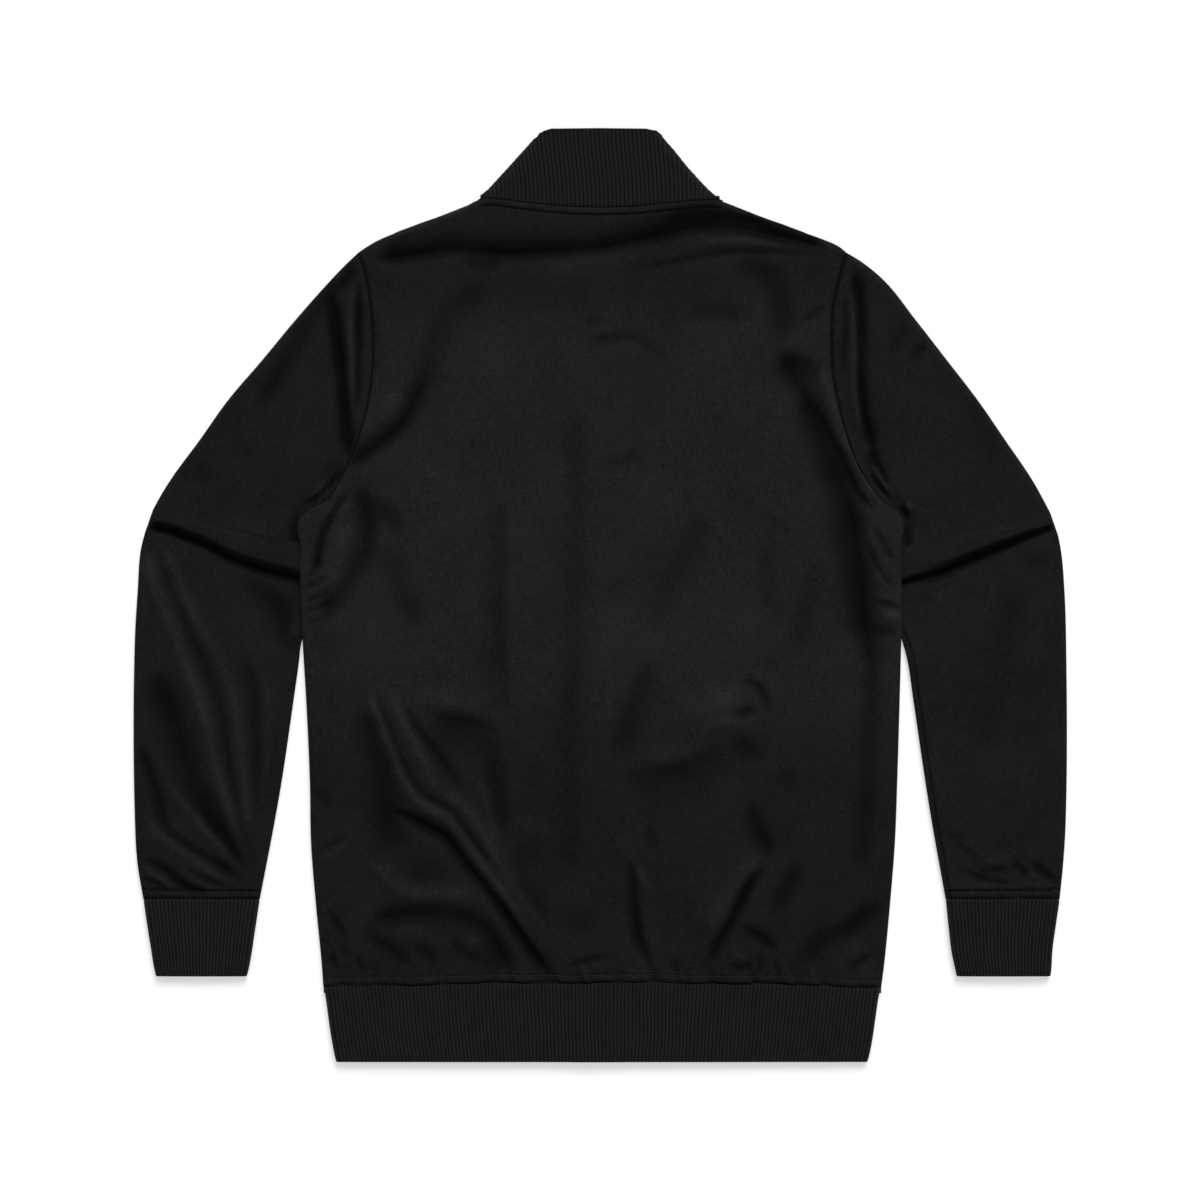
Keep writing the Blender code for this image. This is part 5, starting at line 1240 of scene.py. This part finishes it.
# colours are linear; spacings of threads and loops are in metres
finishes = {
    "twill": {"dark": (0.0020, 0.0020, 0.0023, 1), "pale": (0.0350, 0.0350, 0.0378, 1), "turn": 0.0},
    # painted shade: the sleeves' copies of the twill are darker than the body's, the left one darker than the
    # right
    "leftTwill": {"dark": (0.0020, 0.0020, 0.0022, 1), "pale": (0.0290, 0.0290, 0.0314, 1), "turn": 0.35},
    "rightTwill": {"dark": (0.0020, 0.0020, 0.0022, 1), "pale": (0.0312, 0.0312, 0.0338, 1), "turn": -0.35},
    "tape": {"dark": (0.0020, 0.0020, 0.0022, 1), "pale": (0.0312, 0.0312, 0.0338, 1), "turn": 0.8},
    "ribYarn": {"dark": (0.0030, 0.0030, 0.0033, 1), "pale": (0.0215, 0.0215, 0.0235, 1)},
    # painted highlight: the hem's black thread made pale, as where it catches the light
    "paintedHighlightThread": (0.036, 0.036, 0.038, 1),
    "darkThread": (0.0035, 0.0035, 0.0038, 1),
    "zipMetal": (0.09, 0.09, 0.095, 1),
    "threadPitch": 0.00095,
    "loopPitch": 0.0013,
    "wavePerPitch": 0.314,      # scale of a wave texture that has one band to a metre
    "creaseGain": 0.85,         # how strongly the painted shade and painted highlight darken and lighten the weave
}


def twill(name, look):
    made = Shader(name)
    place = made.place()
    turned = made.mapped(place, Rotation=(0, 0, look["turn"]))
    perThread = finishes["wavePerPitch"] / finishes["threadPitch"]
    warp = made.waves(turned, "DIAGONAL", perThread * 0.6, 0.6)
    weft = made.waves(turned, "X", perThread, 0.4)
    fuzz = made.noise(place, 800.0, 3.0)
    patch = made.noise(place, 12.0, 3.0)
    cloud = made.noise(place, 34.0, 5.0, Roughness=0.62)
    paintedShading = made.paintedShading()
    tall = made.noise(made.mapped(turned, Scale=(1, 0.22, 1)), 900.0, 2.0)
    across = made.noise(made.mapped(turned, Scale=(0.22, 1, 1)), 900.0, 2.0)
    tone = (0.5 + 0.35 * (patch - 0.5) + 0.3 * (cloud - 0.5) + 0.3 * (fuzz - 0.5)
            + 0.6 * (tall - 0.5) + 0.55 * (across - 0.5))
    weave = made.blend(look["dark"], look["pale"], tone)
    # the painted shade and painted highlight scale the weave's colour
    shade = (finishes["creaseGain"] * paintedShading).powerOf(2.0)
    made.set(Base_Color=made.scaled(weave, shade), Roughness=0.68, Specular_IOR_Level=0.055,
             Sheen_Weight=0.03, Sheen_Roughness=0.45)
    made.bump(0.35, 0.00012, 0.5 * warp + 0.3 * weft + 0.5 * fuzz)
    return made.material


def ribYarn(name, look):
    made = Shader(name)
    place = made.place()
    loops = made.waves(place, "Y", finishes["wavePerPitch"] / finishes["loopPitch"], 1.2)
    fuzz = made.noise(place, 1100.0, 3.0)
    cloud = made.noise(place, 90.0, 4.0)
    # the painted shade and painted highlight shift the rib knit's colour
    tone = 0.47 + 0.42 * made.paintedShading() + 0.35 * (cloud - 0.5) + 0.9 * (fuzz - 0.5) + 0.2 * (loops - 0.5)
    made.set(Base_Color=made.blend(look["dark"], look["pale"], tone), Roughness=0.92,
             Specular_IOR_Level=0.08, Sheen_Weight=0.08, Sheen_Roughness=0.5)
    made.bump(0.4, 0.0002, 0.7 * loops + 0.5 * fuzz)
    return made.material


def plainFinish(name, colour, roughness, metallic=0.0, shine=0.5):
    made = Shader(name)
    grain = made.noise(made.place(), 900.0, 4.0)
    made.set(Base_Color=colour, Roughness=(roughness - 0.12) + 0.24 * grain, Metallic=metallic,
             Specular_IOR_Level=shine)
    made.bump(0.15, 0.0001, grain)
    return made.material


print("finishes")
bodyFinish = twill("blackTwill", finishes["twill"])
# darker copies for the sleeves: painted shade
leftFinish = twill("blackTwillLeftSleeve", finishes["leftTwill"])
rightFinish = twill("blackTwillRightSleeve", finishes["rightTwill"])
ribFinish = ribYarn("blackRibKnit", finishes["ribYarn"])
tapeFinish = twill("zipTapeWeave", finishes["tape"])
paintedHighlightThread = plainFinish("paintedHighlightThread", finishes["paintedHighlightThread"], 0.7, shine=0.08)
darkThread = plainFinish("darkThread", finishes["darkThread"], 0.7, shine=0.05)
metalFinish = plainFinish("darkZipMetal", finishes["zipMetal"], 0.38, 1.0)

dressed = [(backCloth, bodyFinish, "twill", ["back"]),
           (sleeveCloth[-1], leftFinish, "twill", ["sleeve_left"]),
           (sleeveCloth[1], rightFinish, "twill", ["sleeve_right"]),
           (frontCloth[-1], bodyFinish, "twill", ["front_left"]),
           (frontCloth[1], bodyFinish, "twill", ["front_right"]),
           (cuffKnit[-1], ribFinish, "rib_knit", ["cuff_left"]),
           (cuffKnit[1], ribFinish, "rib_knit", ["cuff_right"]),
           (hemKnit, ribFinish, "rib_knit", ["hem_rib"]),
           (collarKnit, ribFinish, "rib_knit", ["collar"]),
           (collarFrontKnit[-1], ribFinish, "rib_knit", ["collar"]),
           (collarFrontKnit[1], ribFinish, "rib_knit", ["collar"]),
           (tapes[-1], tapeFinish, "zip_tape", ["zip_tape_left"]),
           (tapes[1], tapeFinish, "zip_tape", ["zip_tape_right"]),
           (teeth[-1], metalFinish, "zip_metal", ["zip_chain"]),
           (teeth[1], metalFinish, "zip_metal", ["zip_chain"])]
for piece, finish, slot, nodes in dressed:
    piece.data.materials.append(finish)
    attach(piece, "jacket")
    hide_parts(*nodes)
for piece in threads:
    # the hem's stitches get the painted highlight
    piece.data.materials.append(paintedHighlightThread if piece.name == "hemStitches" else darkThread)
    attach(piece, "jacket")
for name in ("zip_slider", "zip_pull"):
    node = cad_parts[name]
    node.data.materials.clear()
    node.data.materials.append(metalFinish)

# floor, light and camera, in metres and degrees
studio = {
    "floorReach": 30,
    "floorLevel": -0.0004,
    "floor": 0.93,
    "glow": 0.47,
    "sky": 0.27,
    "sun": 1.75,
    "sunTilt": 50.0,
    "sunTurn": 12.0,
    "sunSize": 34.0,
    "cameraHeight": 3.2,
    "sensor": 36.0,
    "frameWidth": 1.008,        # width that the picture shows, at the height of planeZ
    "planeZ": 0.006,
    "centreY": -0.0042,
}


def inScene(name, data):
    made = bpy.data.objects.new(name, data)
    bpy.context.scene.collection.objects.link(made)
    return made


corners = [(x, y, studio["floorLevel"]) for x, y in ((-1, -1), (1, -1), (1, 1), (-1, 1))]
floorMesh = bpy.data.meshes.new("floor")
floorMesh.from_pydata([(x * studio["floorReach"], y * studio["floorReach"], z) for x, y, z in corners], [],
                      [(0, 1, 2, 3)])
floor = inScene("floor", floorMesh)
paper = Shader("palePaper")
paper.set(Base_Color=(studio["floor"],) * 3 + (1,), Roughness=0.9, Specular_IOR_Level=0.1,
          Emission_Color=(1, 1, 1, 1), Emission_Strength=studio["glow"])
floor.data.materials.append(paper.material)

world = bpy.data.worlds.new("softRoom")
bpy.context.scene.world = world
world.use_nodes = True
sky = world.node_tree.nodes["Background"]
sky.inputs[0].default_value = (1, 1, 1, 1)
sky.inputs[1].default_value = studio["sky"]

sunData = bpy.data.lights.new("windowLight", "SUN")
sunData.energy = studio["sun"]
sunData.angle = math.radians(studio["sunSize"])
sun = inScene("windowLight", sunData)
tilt, heading = math.radians(studio["sunTilt"]), math.radians(studio["sunTurn"])
toLight = Vector((math.sin(heading) * math.sin(tilt), math.cos(heading) * math.sin(tilt), math.cos(tilt)))
sun.rotation_mode = "QUATERNION"
sun.rotation_quaternion = toLight.to_track_quat("Z", "Y")

cameraData = bpy.data.cameras.new("overheadCamera")
cameraData.sensor_width = studio["sensor"]
cameraData.lens = studio["sensor"] * (studio["cameraHeight"] - studio["planeZ"]) / studio["frameWidth"]
camera = inScene("overheadCamera", cameraData)
camera.location = (0, studio["centreY"], studio["cameraHeight"])
bpy.context.scene.camera = camera
bpy.context.scene.view_settings.view_transform = "Standard"
bpy.context.scene.view_settings.look = "None"
